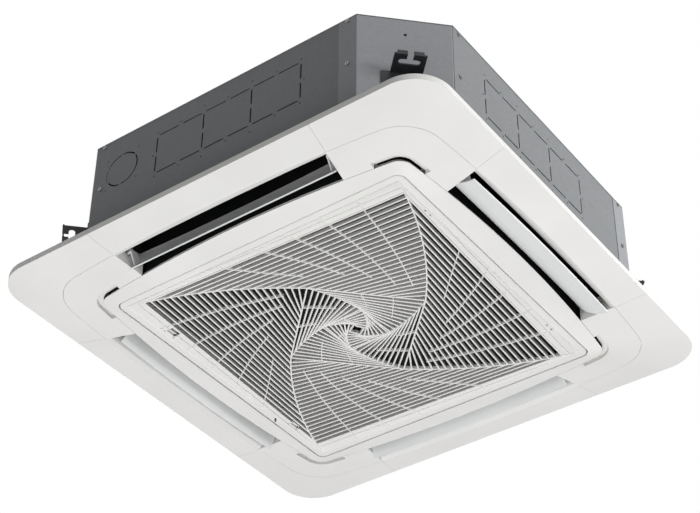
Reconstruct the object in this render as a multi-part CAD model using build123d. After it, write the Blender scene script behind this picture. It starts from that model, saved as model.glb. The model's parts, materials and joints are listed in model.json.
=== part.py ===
"""Four-way ceiling cassette air conditioner.

Millimetres, +Z up. The origin is the unit's centre on the ceiling plane, which is the top of the
panel's plain rim. The cabinet is above the ceiling, the panel below it. Front is -Y, right is +X,
rear is +Y and left is -X. What repeats on each side is modelled on the right side and turned.
"""
from build123d import *
import math
import os

os.makedirs("parts", exist_ok=True)

# ---------------------------------------------------------------- driving dimensions
# fits
seam_gap = 0.4            # between covers that lie edge to edge
run_gap = 0.05            # radial clearance of a shaft in its bore
hole_gap = 0.3            # radial clearance of a pipe or screw in its hole

# cabinet
cabinet_height = 246.0
cabinet_chamfer = 120.0
sheet = 1.0
flange_reach = 38.0       # bent flange of a corner plate along the side panel
shelf_width = 14.0        # bottom shelf of a side panel
shelf_half = 250.0
bead_depth = 2.5
bead_width = 18.0
knockout_slot = 3.0
knockout_bridge = 5.0
window_width = 109.3      # one square knock-out
window_height = 91.0
window_centre_z = 168.5
window_count = 3
disc_diameter = 73.0      # round knock-out
disc_x = -231.0
disc_z = 176.5
pilot_radius = 1.7
pilot_offset = 7.5        # pilot holes outside a knock-out's border

# hanger brackets
bracket_z = 126.0
bracket_width = 56.0
bracket_reach = 49.0
bracket_sheet = 3.0
bracket_leg = 34.0
slot_width = 12.0
slot_length = 38.0
slot_setback = 18.0       # slot centre to the bracket's outer edge
throat_width = 11.0
lip_rise = 6.0
pipe_side_shift = 17.0    # brackets on the left side sit this far along the chamfer

# panel
panel_overhang = 55.0     # panel's edge outside the cabinet
outer_width = 54.0        # crease to the panel's edge
panel_corner_radius = 72.0
rim_height = 12.0
face_drop = 38.0
panel_rise = 12.0
panel_wall = 2.5
seal_thickness = 3.0
outlet_width = 63.7       # surround's edge to the crease, which is the outlets' outer edge
crease_drop = 22.3
crease_radius = 80.0
side_bow = 22.0           # how far the bowed outlines fall back at their corners
surround_width = 41.9     # grille's opening to the surround's edge
surround_drop = 31.6
surround_radius = 28.0
groove_width = 11.0       # finger grooves at the surround's corners
groove_depth = 9.0
groove_length = 76.3      # how far a finger groove runs back from the surround's edge
seam_margin = 2.0         # outlet's end to the corner cover's seam, at the crease
seam_splay = 8.0          # how much further out the seam is at the rim
corner_window = 130.0     # square windows at the corners of the panel's top flange
corner_window_setback = 39.3
tray_sheet = 3.0
access_radius = 24.0
panel_bolt_offset = 45.0
panel_bolt_setback = 38.9 # panel bolts outside the cabinet's chamfers
bolt_radius = 3.0
tab_z = 30.0

# air outlets
outlet_end_margin = 134.8 # surround's edge to the end of an outlet's inner side
outlet_splay = 10.0       # how much longer each end of an outlet's outer side is
throat_setback = 21.0     # crease to the throat's outer wall
passage_setback = 4.3     # surround's edge in to the passage's inner wall
passage_margin = 8.5      # outlet's end to the end of its passage

# louvres
pivot_offset = 27.7       # surround's edge to the louvre's pivot
pivot_drop = 3.0
louvre_below_pivot = 21.0
louvre_inner = 20.0
louvre_outer = 32.4
louvre_bow = 4.5
louvre_sagitta = 4.6
louvre_sheet = 2.5
louvre_end_margin = 3.0   # louvre's end beyond the end of the outlet's inner side
louvre_taper = 4.0
louvre_shaft = 2.5
bush_flange = 2.5         # bush flange outside its barrel
bush_flange_sheet = 1.4
bush_clearance = 0.46     # bush flange to the highest point of the slanted end wall
rest_angle = {"front": 62.0, "right": 22.0, "rear": 64.0, "left": 62.0}

# intake grille
grille_gap = 2.0
grille_half = 313.4
grille_radius = 15.0
grille_border = 4.0
grille_depth = 18.0
grille_edge_round = 2.5
bevel_setback = 14.4      # grille's edge to the bevel
whirl_setback = 25.4      # grille's edge to the whirl
whirl_bottom = 35.5
blade_height = 12.0
blade_thickness = 1.8
rib_thickness = 3.0
whirl_ratio = 2.58        # each eighth of a turn shrinks the whirl by this
rib_bulge = 13.5
least_opening = 0.8       # shortest side of an opening between the slats
slats_per_level = [22, 11, 5, 2]
hinge_setback = 17.4      # grille's edge to the hinge pins
hinge_drop = 28.5
hinge_pin = 2.5
hinge_y = 200.0
hook_radius = 5.0
hook_width = 8.0
latch_y = 189.0
latch_travel = 5.0
latch_half = 11.0
screw_slot_setback = 8.4  # grille's edge to the slanted screw slot
screw_slot_offset = 40.0  # rear latch to the slanted screw slot

# inside
liner_wall = 14.5
liner_top = 14.5
liner_opening = 130.0     # radius of the cut-out round the motor
left_board = 4            # the wall boards are counted from the right one, against the clock
pan_top = 62.0
trough_floor = 34.0
coil_setback = 15.0       # passage's inner wall to the fin block
coil_thickness = 38.0
coil_gap_start = 205.0
pan_lip = 30.0            # fin block to the drain pan's middle opening
pan_corner = 40.0
sump_wall = 12.0
bell_lap = 30.0           # bell mouth's flange under the drain pan
bell_inlet = 205.0
bell_throat = 165.0
bell_top = 78.0
fan_radius = 240.0
fan_inlet = 172.0
fan_bottom = 70.0
fan_back = 215.0
fan_blades = 7
shaft_radius = 6.0
motor_radius = 80.0
motor_bottom = 150.0
motor_top = 236.0
gas_radius = 7.94
liquid_radius = 4.76
pipe_y = 228.0
gas_z = 90.0
liquid_z = 150.0
pipe_end = 440.0
union_length = 14.0
gas_union_radius = 11.1
liquid_union_radius = 7.94
spout_radius = 16.0
spout_bore = 13.0
spout_length = 36.0
spout_y = 228.0
spout_z = 205.0
pump_inset_x = 38.0       # pump's axis inside the fin block's outer face
pump_inset_y = 20.0
pump_radius = 24.0
float_offset_x = 38.0     # float's axis from the pump's
float_offset_y = 34.0
float_rise = 8.0
grommet_y = -150.0
grommet_z = 120.0
grommet_bore = 10.0
grommet_wall = 4.0

# ---------------------------------------------------------------- derived levels
surround_reach = grille_half + grille_gap + surround_width
crease_reach = surround_reach + outlet_width
panel_side = 2 * (crease_reach + outer_width)
cabinet_side = panel_side - 2 * panel_overhang
outlet_length_inner = 2 * (surround_reach - outlet_end_margin)
outlet_length_outer = outlet_length_inner + 2 * outlet_splay
throat_reach = crease_reach - throat_setback
passage_inner = surround_reach - passage_setback
passage_half = outlet_length_inner / 2 - passage_margin
pivot_reach = surround_reach + pivot_offset
louvre_half = outlet_length_inner / 2 + louvre_end_margin
groove_start = surround_reach - groove_length
seam_half_inner = outlet_length_outer / 2 + seam_margin
seam_half_outer = seam_half_inner + seam_splay
bevel_outer = grille_half - bevel_setback
whirl_half = grille_half - whirl_setback
hinge_x = grille_half - hinge_setback
coil_outer = passage_inner - coil_setback
panel_half = panel_side / 2
cabinet_half = cabinet_side / 2
cabinet_bottom = panel_rise + seal_thickness
cabinet_top = cabinet_bottom + cabinet_height
diagonal = math.sqrt(0.5)
chamfer_reach = (2 * cabinet_half - cabinet_chamfer) * diagonal
straight_half = cabinet_half - cabinet_chamfer
surround_opening = grille_half + grille_gap
pan_bottom = cabinet_bottom + sheet
liner_outer = cabinet_half - 3 * sheet - 0.5
liner_ceiling = cabinet_top - sheet - bead_depth - liner_top
flange_bottom = panel_rise - panel_wall
coil_inner = coil_outer - coil_thickness
pan_opening = coil_inner - pan_lip
panel_bolt_reach = chamfer_reach + panel_bolt_setback
pump_x = pump_inset_x - coil_outer
pump_y = coil_outer - pump_inset_y
float_x = pump_x + float_offset_x
float_y = pump_y + float_offset_y
whirl_top = whirl_bottom - blade_height
turns = {"front": -90.0, "right": 0.0, "rear": 90.0, "left": 180.0}


# ---------------------------------------------------------------- helpers
def save(shape, name):
    """One STEP file per piece."""
    export_step(shape, f"parts/{name}.step")


def spin(shape, angle):
    """Turn a shape about the unit's vertical axis."""
    return Rot(0, 0, angle) * shape


def block(x, y, z):
    """Box given by its (low, high) pairs along each axis."""
    size = (x[1] - x[0], y[1] - y[0], z[1] - z[0])
    centre = ((x[0] + x[1]) / 2, (y[0] + y[1]) / 2, (z[0] + z[1]) / 2)
    return Pos(*centre) * Box(*size)


def post(x, y, z, radius):
    """Upright cylinder at x, y between the two heights in z."""
    return Pos(x, y, (z[0] + z[1]) / 2) * Cylinder(radius, z[1] - z[0])


def prism(face, z):
    """Extrude a flat face drawn at height 0 between the two heights in z."""
    return extrude(Pos(0, 0, z[0]) * face, z[1] - z[0])


def octagon_corners(grow=0.0):
    """Corners of the cabinet's outline, moved outwards by grow on every side."""
    half = cabinet_half + grow
    corner = straight_half + grow * math.tan(math.pi / 8)
    points = [(half, -corner), (half, corner), (corner, half), (-corner, half)]
    return points + [(-half, corner), (-half, -corner), (-corner, -half), (corner, -half)]


def octagon(grow=0.0):
    """Cabinet outline, moved outwards by grow on every side."""
    return make_face(Polyline(*octagon_corners(grow), close=True))


def rounded_square(half, radius):
    """Square outline with rounded corners."""
    return make_face(RectangleRounded(2 * half, 2 * half, radius).edges())


def bowed_square(reach, fall, radius, z=0.0):
    """Square whose sides bow out: reach at mid side, less by fall where the corners would be."""
    corner = reach - fall
    sides = []
    for turn in range(4):
        start = Vector(corner, -corner, 0).rotate(Axis.Z, 90 * turn)
        middle = Vector(reach, 0, 0).rotate(Axis.Z, 90 * turn)
        end = Vector(corner, corner, 0).rotate(Axis.Z, 90 * turn)
        if fall > 0:
            sides.append(ThreePointArc(start, middle, end))
        else:
            sides.append(Line(start, end))
    face = make_face(sides)
    return Pos(0, 0, z) * fillet(face.vertices(), radius)


def bowed_x(reach, y):
    """How far out a bowed side lies at the distance y from its middle."""
    corner = reach - side_bow
    radius = (corner ** 2 + side_bow ** 2) / (2 * side_bow)
    return reach - radius + math.sqrt(radius ** 2 - y ** 2)


def bent_strip(points, thickness):
    """Flat outline of a folded sheet: the path and its parallel on the left, mitred at the folds."""
    path = [Vector(*p) for p in points]
    normals = []
    for a, b in zip(path, path[1:]):
        along = (b - a).normalized()
        normals.append(Vector(-along.Y, along.X))
    inside = [path[0] + normals[0] * thickness]
    for point, before, after in zip(path[1:], normals, normals[1:]):
        mitre = (before + after).normalized()
        inside.append(point + mitre * (thickness / mitre.dot(before)))
    inside.append(path[-1] + normals[-1] * thickness)
    return make_face(Polyline(*path, *reversed(inside), close=True))


def on_diagonal(reach, offset=0.0):
    """Point on the right rear corner's diagonal, moved sideways by offset."""
    return ((reach - offset) * diagonal, (reach + offset) * diagonal)


def corner_frame(shape, angle, shift=0.0):
    """Place a shape drawn with +X outwards on a corner's diagonal."""
    return Rot(0, 0, angle) * Pos(0, shift, 0) * shape


# ---------------------------------------------------------------- cabinet
corner_angles = {"right_rear": 45.0, "left_rear": 135.0, "left_front": 225.0, "right_front": 315.0}


def top_plate():
    """Octagonal lid with eight embossed beads and holes for the motor studs."""
    plate = prism(octagon(), (cabinet_top - sheet, cabinet_top))
    for step in range(8):
        reach = (155.0, 300.0) if step % 2 else (155.0, 370.0)
        channel = block(reach, (-bead_width / 2, bead_width / 2),
                        (cabinet_top - sheet - bead_depth, cabinet_top))
        groove = block((reach[0] + sheet, reach[1] - sheet),
                       (sheet - bead_width / 2, bead_width / 2 - sheet),
                       (cabinet_top - bead_depth, cabinet_top + 1))
        plate = plate + spin(channel, 45 * step) - spin(groove, 45 * step)
    return plate


def window_knockout(centre, face):
    """Slots round a row of square knock-outs, with bridges at corners and mid sides."""
    x_low = centre - window_count * window_width / 2
    z_low = window_centre_z - window_height / 2
    z_high = window_centre_z + window_height / 2
    slots = []
    half_slot = knockout_slot / 2
    for column in range(window_count + 1):
        x = x_low + column * window_width
        for low in (z_low, window_centre_z):
            span = (low + knockout_bridge, low + window_height / 2 - knockout_bridge)
            slots.append(block((x - half_slot, x + half_slot), face, span))
    for column in range(2 * window_count):
        x = x_low + column * window_width / 2
        span = (x + knockout_bridge, x + window_width / 2 - knockout_bridge)
        for z in (z_low, z_high):
            slots.append(block(span, face, (z - half_slot, z + half_slot)))
    for column in range(2 * window_count + 1):
        x = x_low + column * window_width / 2
        for z, away in ((z_low, -1), (z_high, 1)):
            lift = 2.2 * pilot_offset if column in (2, 4) else pilot_offset
            slots.append(pilot_hole(x, z + away * lift, face))
    for x in (x_low - pilot_offset, x_low + window_count * window_width + pilot_offset):
        slots.append(pilot_hole(x, window_centre_z, face))
    return slots


def pilot_hole(x, z, face):
    """Small screw hole through a panel that faces -Y."""
    middle = (face[0] + face[1]) / 2
    return Pos(x, middle, z) * Rot(90, 0, 0) * Cylinder(pilot_radius, face[1] - face[0])


def disc_knockout(face):
    """Broken ring round the fresh-air knock-out and its four flange holes."""
    middle = (face[0] + face[1]) / 2
    depth = face[1] - face[0]
    radius = disc_diameter / 2
    ring = Cylinder(radius + knockout_slot / 2, depth) - Cylinder(radius - knockout_slot / 2, depth)
    for angle in (95, 160, 35, 268):
        bridge = Rot(0, 0, angle) * Pos(radius, 0, 0) * Box(3 * knockout_slot, knockout_bridge, depth)
        ring = ring - bridge
    cuts = [Pos(disc_x, middle, disc_z) * Rot(90, 0, 0) * ring]
    for dx in (-radius, radius):
        for dz in (-radius, radius):
            cuts.append(pilot_hole(disc_x + dx, disc_z + dz, face))
    return cuts


def side_panel(cuts):
    """Folded side panel, drawn as the front one: web, bottom shelf and top flange."""
    outer = -(cabinet_half - sheet)
    web_half = straight_half - 0.5
    web = block((-web_half, web_half), (outer, outer + sheet), (cabinet_bottom, cabinet_top - sheet))
    for z in (cabinet_bottom, cabinet_top - 2 * sheet):
        web += block((-shelf_half, shelf_half), (outer, outer + shelf_width), (z, z + sheet))
    for cut in cuts:
        web = web - cut
    for side in (-1, 1):
        for z in flange_screw_heights():
            web = web - pilot_hole(side * (straight_half - flange_reach / 2), z, web_depth())
    return web


def web_depth():
    """Span in Y that every cut through the front panel's web takes."""
    return (-cabinet_half - 1, -cabinet_half + 4 * sheet)


def flange_screw_heights():
    """Heights of the screws that hold a corner plate's flange."""
    return (cabinet_bottom + 33, cabinet_bottom + 136, cabinet_top - 7)


def corner_plate():
    """Chamfered corner, drawn at the right front: one flange over the front panel, one under the
    right panel, and a folded tab that the panel's bolt screws into."""
    low = cabinet_bottom + 1.5 * sheet
    high = cabinet_top - 2.5 * sheet
    half = cabinet_half
    path = [(straight_half - flange_reach, -half), (straight_half, -half)]
    path += [(half - 2 * sheet, -straight_half - 2 * sheet), (half - 2 * sheet, -straight_half + flange_reach)]
    plate = prism(bent_strip(path, sheet), (low, high))
    tab = block((chamfer_reach - sheet, panel_bolt_reach + 12),
                (panel_bolt_offset - 13, panel_bolt_offset + 13), (tab_z, tab_z + 2 * sheet))
    tab = tab - post(panel_bolt_reach, panel_bolt_offset, (tab_z - 1, tab_z + 3 * sheet), bolt_radius + hole_gap)
    plate += corner_frame(tab, corner_angles["right_front"])
    for z in flange_screw_heights():
        plate = plate - pilot_hole(straight_half - flange_reach / 2, z, web_depth())
        plate = plate - spin(pilot_hole(-straight_half + flange_reach / 2, z, web_depth()), 90)
    lift_hole = corner_frame(Pos(chamfer_reach, 0, cabinet_top - 38) * Rot(0, 90, 0) * Cylinder(3, 6),
                             corner_angles["right_front"])
    return plate - lift_hole


def hanger_bracket():
    """Folded bracket with a T-shaped slot, drawn with +X outwards."""
    outer = chamfer_reach + bracket_reach
    half = bracket_width / 2
    plate_z = (bracket_z, bracket_z + bracket_sheet)
    plate = block((chamfer_reach, outer), (-half, half), plate_z)
    leg = block((chamfer_reach, chamfer_reach + bracket_sheet), (-half - 14, half + 14),
                (bracket_z - bracket_leg, bracket_z + bracket_sheet))
    slot_x = outer - slot_setback
    slot = SlotOverall(slot_length, slot_width, rotation=90)
    cutter = prism(Pos(slot_x, 0, 0) * slot, (bracket_z - 1, bracket_z + bracket_sheet + 1))
    throat = block((slot_x, outer + 1), (-throat_width / 2, throat_width / 2),
                   (bracket_z - 1, bracket_z + bracket_sheet + lip_rise + 1))
    lips = block((outer - bracket_sheet, outer), (5 - half, half - 5),
                 (bracket_z, bracket_z + bracket_sheet + lip_rise))
    return plate + leg + lips - cutter - throat


def screw_head(x, y, z, axis_turn):
    """Pan-head sheet-metal screw; the head stands on the surface and the shank goes in."""
    head = Cylinder(4.0, 2.0, align=(Align.CENTER, Align.CENTER, Align.MIN))
    shank = Cylinder(pilot_radius, 2.4, align=(Align.CENTER, Align.CENTER, Align.MAX))
    slot = Pos(0, 0, 1.4) * (Box(4.6, 0.9, 1.3) + Box(0.9, 4.6, 1.3))
    return Pos(x, y, z) * axis_turn * (head + shank - slot)


def cabinet_screws():
    """Screws of all corner-plate flanges: over the panel on one side, through it on the other."""
    screws = []
    for turn in range(4):
        for z in flange_screw_heights():
            x = straight_half - flange_reach / 2
            over = screw_head(x, -cabinet_half, z, Rot(90, 0, 0))
            under = screw_head(-x, -cabinet_half + sheet, z, Rot(90, 0, 0))
            screws += [spin(over, 90 * turn), spin(under, 90 * turn)]
    return screws


def make_cabinet():
    """Sheet-metal cabinet and its hangers."""
    save(top_plate(), "top_plate")
    face = web_depth()
    front = side_panel(window_knockout(16.0, face) + disc_knockout(face))
    save(front, "side_panel_front")
    right = side_panel(window_knockout(-36.0, face))
    save(spin(right, 90), "side_panel_right")
    save(spin(side_panel(window_knockout(0.0, face)), 180), "side_panel_rear")
    left = spin(side_panel([]), -90)
    for y, z, radius in left_holes():
        left = left - Pos(-cabinet_half, y, z) * Rot(0, 90, 0) * Cylinder(radius + hole_gap, 12)
    save(left, "side_panel_left")
    plate = corner_plate()
    bracket = hanger_bracket()
    for name, angle in corner_angles.items():
        save(spin(plate, angle - corner_angles["right_front"]), f"corner_plate_{name}")
        shift = pipe_side_shift * {"left_rear": 1, "left_front": -1}.get(name, 0)
        save(corner_frame(bracket, angle, shift), f"hanger_bracket_{name}")
    save(Compound(cabinet_screws()), "cabinet_screws")


def left_holes():
    """Holes through the left wall: y, height and radius of what passes."""
    return [(pipe_y, gas_z, gas_radius), (pipe_y, liquid_z, liquid_radius),
            (spout_y, spout_z, spout_bore), (grommet_y, grommet_z, grommet_bore + grommet_wall)]


# ---------------------------------------------------------------- inside the cabinet
def liner_boards():
    """Foam boards bonded to the cabinet: one on each wall and chamfer, mitred at their ends, and
    two half boards under the top plate that are cut out round the motor."""
    outer = octagon_corners(liner_outer - cabinet_half)
    inner = octagon_corners(liner_outer - cabinet_half - liner_wall)
    boards = []
    for step in range(8):
        beside = (step + 1) % 8
        plan = make_face(Polyline(outer[step], outer[beside], inner[beside], inner[step], close=True))
        board = prism(plan, (pan_top, liner_ceiling))
        if step == left_board:
            for y, z, radius in left_holes():
                board -= Pos(-liner_outer, y, z) * Rot(0, 90, 0) * Cylinder(radius + 2, 4 * liner_wall)
        boards.append(board)
    top = prism(octagon(liner_outer - cabinet_half), (liner_ceiling, liner_ceiling + liner_top))
    top -= post(0, 0, (liner_ceiling - 1, cabinet_top), liner_opening)
    for x in ((0, cabinet_half), (-cabinet_half, 0)):
        boards.append(top & block(x, (-cabinet_half, cabinet_half), (liner_ceiling - 1, cabinet_top)))
    return boards


def sump_span(wall):
    """Plan of the sump, widened by its wall."""
    return ((pump_x - 34 - wall, float_x + 24 + wall), (pump_y - 26 - wall, float_y + 22 + wall))


def drain_tray():
    """Foam tray under the heat exchanger: trough, middle opening and the sump at the left rear."""
    outline = Rectangle(2 * passage_inner, 2 * passage_inner)
    (low_x, high_x), (low_y, high_y) = sump_span(sump_wall)
    outline += Pos((low_x + high_x) / 2, (low_y + high_y) / 2) * Rectangle(high_x - low_x, high_y - low_y)
    tray = prism(outline & octagon(liner_outer - cabinet_half), (pan_bottom, pan_top))
    tray -= prism(rounded_square(pan_opening, pan_corner), (pan_bottom - 1, pan_top + 1))
    trough = rounded_square(coil_outer + 6, 78) - rounded_square(coil_inner - 6, 34)
    tray -= prism(trough, (trough_floor, pan_top + 1))
    tray -= block(*sump_span(0), (trough_floor - 6, pan_top + 1))
    return tray - post(pump_x + 14, float_y, (pan_bottom - 1, trough_floor), 8 + hole_gap)


def duct_blocks():
    """Foam blocks round the tray that close the four air passages: one beyond each passage and
    two at its ends, which meet the next side's on the diagonal."""
    outer = liner_outer
    corner = straight_half + (liner_outer - cabinet_half) * math.tan(math.pi / 8)
    middle = (outer + corner) / 2
    beyond = [(throat_reach, -passage_half), (outer, -passage_half), (outer, passage_half), (throat_reach, passage_half)]
    end = [(passage_inner, passage_half), (outer, passage_half), (outer, corner), (middle, middle),
           (passage_inner, passage_inner)]
    other_end = [(x, -y) for x, y in reversed(end)]
    sump = block(*sump_span(sump_wall), (pan_bottom - 1, pan_top + 1))
    blocks = []
    for angle in turns.values():
        for points in (beyond, end, other_end):
            piece = spin(prism(make_face(Polyline(*points, close=True)), (pan_bottom, pan_top)), angle)
            blocks.append(piece - sump if (piece & sump).volume > 1 else piece)
    return blocks


def drain_plug():
    """Rubber plug in the bottom of the sump."""
    x = pump_x + 14
    plug = post(x, float_y, (pan_bottom, trough_floor - 6), 8)
    return plug + post(x, float_y, (pan_bottom - 2.5, pan_bottom), 12)


def coil_ring():
    """Outline of the bent fin block, open at the left rear corner."""
    ring = rounded_square(coil_outer, 75) - rounded_square(coil_inner, 75 - coil_thickness)
    reach = 2 * coil_outer
    gap = Pos(-coil_gap_start - reach / 2, coil_gap_start + reach / 2) * Rectangle(reach, reach)
    return ring - gap


def tube_sheets():
    """Plates at the two ends of the fin block."""
    margin = 3.0
    low = coil_inner - margin
    high = coil_outer + margin
    height = (trough_floor, liner_ceiling)
    rear = block((-coil_gap_start - 2, -coil_gap_start), (low, high), height)
    left = block((-high, -low), (coil_gap_start, coil_gap_start + 2), height)
    return [rear, left]


def return_bends():
    """Half loops of tube that stand on the tube sheets."""
    bend = revolve(Plane.XZ * Pos(10.5, 0) * Circle(4.0), Axis.Z, 180)
    bends = []
    rows = 5
    pitch = (liner_ceiling - trough_floor) / (rows + 0.6)
    for row in range(rows):
        z = trough_floor + pitch * (row + 0.75)
        for across in (coil_inner + coil_thickness * 0.27, coil_inner + coil_thickness * 0.73):
            upright = Rot(0, 90, 0) * bend
            rear = Pos(-coil_gap_start - 2, across, z) * Rot(0, 0, 90) * upright
            left = Pos(-across, coil_gap_start + 2, z) * upright
            if abs(z - pump_top()) > 18:
                bends.append(rear)
            if abs(z - gas_z) > 30 and abs(z - liquid_z) > 26:
                bends.append(left)
    return bends


def pipe_run(radius, z, start_y):
    """Pipe from the left tube sheet out through the left wall."""
    x = -(coil_inner + coil_thickness / 2)
    path = FilletPolyline((x, start_y, z), (x, pipe_y, z), (-pipe_end, pipe_y, z), radius=18)
    section = Plane(origin=(x, start_y, z), z_dir=(0, 1, 0)) * Circle(radius)
    return sweep(section, path)


def pipe_union(radius, z):
    """Brass flare union on a pipe's end: hexagon and male part, bored through."""
    hexagon = RegularPolygon(radius * 1.25, 6)
    body = extrude(hexagon, 10) + Pos(0, 0, 10 + union_length / 2) * Cylinder(radius, union_length)
    body -= Cylinder(radius * 0.55, 80)
    return Pos(-pipe_end, pipe_y, z) * Rot(0, -90, 0) * body


def pipe_plate():
    """Cover plate round the two pipes on the left panel."""
    x = (-cabinet_half, -cabinet_half + sheet)
    plate = block(x, (pipe_y - 30, pipe_y + 30), (gas_z - 32, liquid_z + 26))
    for z, radius in ((gas_z, gas_radius), (liquid_z, liquid_radius)):
        plate -= Pos(-cabinet_half, pipe_y, z) * Rot(0, 90, 0) * Cylinder(radius + hole_gap, 12)
    return plate


def bell_mouth():
    """Square flange with a bell that narrows to the fan's inlet."""
    low = panel_rise + 1.5
    wall = pan_bottom - low
    flange = prism(rounded_square(pan_opening + bell_lap, pan_corner), (low, pan_bottom))
    flange -= post(0, 0, (0, 40), bell_inlet)
    rise = bell_top - low
    reach = bell_inlet - bell_throat
    steps = 6
    inner = []
    outer = []
    for step in range(steps + 1):
        angle = math.pi / 2 * step / steps
        r = bell_inlet - reach * math.sin(angle)
        z = low + rise * (1 - math.cos(angle))
        inner.append((r, z))
        outer.append((r + wall, z))
    profile = make_face(Polyline(*inner, *reversed(outer), close=True))
    return flange + revolve(Plane.XZ * profile, Axis.Z, 360)


def turbo_fan():
    """Backward-curved fan in two mouldings: hub with a well for the motor, back plate and blades,
    and the inlet shroud that is welded to the blades."""
    wall = 2.5
    well = motor_radius + 12
    plate_low = motor_bottom - 10
    hub = [(shaft_radius, plate_low - 12), (14, plate_low - 12), (14, plate_low), (well, plate_low)]
    hub += [(well + 8, fan_back), (fan_radius, fan_back), (fan_radius, fan_back + wall)]
    hub += [(well + 5, fan_back + wall), (well - 3, plate_low + wall), (shaft_radius, plate_low + wall)]
    body = revolve(Plane.XZ * make_face(Polyline(*hub, close=True)), Axis.Z, 360)
    shroud = [(fan_inlet, fan_bottom), (fan_inlet + wall, fan_bottom), (fan_inlet + 5, fan_bottom + 16)]
    shroud += [(fan_inlet + 26, fan_bottom + 27), (fan_radius, fan_bottom + 32), (fan_radius, fan_bottom + 34.5)]
    shroud += [(fan_inlet + 24, fan_bottom + 29.5), (fan_inlet + 2, fan_bottom + 18), (fan_inlet, fan_bottom + 12)]
    ring = revolve(Plane.XZ * make_face(Polyline(*shroud, close=True)), Axis.Z, 360)
    below = [(fan_inlet, fan_bottom + 12), (fan_inlet + 2, fan_bottom + 18), (fan_inlet + 24, fan_bottom + 29.5)]
    below += [(fan_radius, fan_bottom + 34.5), (fan_radius + 10, fan_bottom + 34.5)]
    below += [(fan_radius + 10, fan_bottom - 5), (fan_inlet, fan_bottom - 5)]
    under_ring = revolve(Plane.XZ * make_face(Polyline(*below, close=True)), Axis.Z, 360)
    start = Vector(fan_radius - 92, 0)
    end = Vector(fan_radius - 2, 0).rotate(Axis.Z, -38)
    middle = (start + end) * 0.5 + Vector(9, 16)
    curve = ThreePointArc(start, middle, end)
    blade = prism(trace(curve, 3.0), (fan_bottom + 26, fan_back + 1))
    for step in range(fan_blades):
        body += spin(blade, 360 * step / fan_blades)
    inlet = post(0, 0, (fan_bottom - 1, fan_bottom + 31), fan_inlet)
    return [body - inlet - under_ring, ring]


def motor_shaft():
    """Shaft of the fan motor."""
    plate_low = motor_bottom - 10
    return post(0, 0, (plate_low - 26, motor_bottom + 30), shaft_radius)


def fan_nut():
    """Hexagon nut with a washer under the fan's hub."""
    top = motor_bottom - 22
    nut = prism(RegularPolygon(12, 6), (top - 11, top - 2)) + post(0, 0, (top - 2, top), 13)
    return nut - post(0, 0, (top - 12, top + 1), shaft_radius)


def mount_points():
    """Centres of the four motor mounts."""
    return [(98 * math.cos(math.radians(a)), 98 * math.sin(math.radians(a))) for a in (45, 135, 225, 315)]


def fan_motor():
    """Can of the fan motor with its four-armed flange and a blind bearing bore."""
    body = post(0, 0, (motor_bottom, motor_top), motor_radius)
    body = fillet(body.edges().group_by(Axis.Z)[0], 8)
    body += post(0, 0, (motor_bottom - 4, motor_bottom), 18)
    for x, y in mount_points():
        body += post(x, y, (motor_top - 4, motor_top), 15)
        body += Rot(0, 0, math.degrees(math.atan2(y, x))) * block((60, 98), (-15, 15), (motor_top - 4, motor_top))
    for x, y in mount_points():
        body -= post(x, y, (motor_top - 5, motor_top + 1), 4 + hole_gap)
    return body - post(0, 0, (motor_bottom - 5, motor_bottom + 31), shaft_radius + run_gap)


def motor_mounts():
    """Rubber rings between the motor's flange and the top plate."""
    rings = []
    for x, y in mount_points():
        ring = post(x, y, (motor_top, cabinet_top - sheet), 12)
        rings.append(ring - post(x, y, (motor_top - 1, cabinet_top), 4 + hole_gap))
    return rings


def motor_fixings():
    """Studs from the top plate through the rubber rings, each with its nut."""
    fixings = []
    for x, y in mount_points():
        stud = post(x, y, (motor_top - 16, cabinet_top - sheet), 4)
        nut = Pos(x, y, 0) * prism(RegularPolygon(7.5, 6), (motor_top - 11, motor_top - 4))
        fixings.append(stud + nut)
    return fixings


def drain_pump():
    """Pump hung in the sump: body, suction nozzle and outlet nozzle."""
    top = pump_top()
    pump = post(pump_x, pump_y, (top - 46, top), pump_radius)
    pump += post(pump_x, pump_y, (trough_floor, top - 46), 7)
    pump += post(pump_x, pump_y, (top - 60, top - 46), 15)
    return pump + post(pump_x, pump_y, (top, top + 20), 8)


def pump_top():
    """Height of the pump's mounting face."""
    return pan_top + 66


def pump_bracket():
    """Plate on the rear tube sheet that carries the pump and the float switch."""
    z = (pump_top(), pump_top() + 2)
    plate = block((pump_x - 34, -coil_gap_start - 2), (pump_y - 26, float_y + 22), z)
    plate = plate & prism(octagon(liner_outer - cabinet_half - liner_wall - 1), z)
    plate -= post(pump_x, pump_y, (z[0] - 1, z[1] + 1), 8 + hole_gap)
    return plate - post(float_x, float_y, (z[0] - 1, z[1] + 1), 3 + hole_gap)


def float_switch():
    """Stem of the float switch with its end stop."""
    stem = post(float_x, float_y, (trough_floor + 2, pump_top() + 2), 3)
    stem += post(float_x, float_y, (trough_floor + 2, trough_floor + 4), 6)
    return stem + post(float_x, float_y, (pump_top() + 2, pump_top() + 10), 7)


def float_ring():
    """Float that rides on the stem."""
    z = (trough_floor + 4, trough_floor + 20)
    return post(float_x, float_y, z, 13) - post(float_x, float_y, (z[0] - 1, z[1] + 1), 3 + run_gap)


def drain_hose():
    """Hose from the pump's outlet nozzle to the spout."""
    z = pump_top() + 2
    path = FilletPolyline((pump_x, pump_y, z), (pump_x, pump_y, spout_z), (pump_x - 45, spout_y, spout_z),
                          (-cabinet_half + sheet * 2 + 2, spout_y, spout_z), radius=22)
    section = Plane(origin=(pump_x, pump_y, z), z_dir=(0, 0, 1)) * Circle(spout_bore - 1)
    hose = sweep(section, path)
    return hose - post(pump_x, pump_y, (z - 1, pump_top() + 20), 8)


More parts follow.
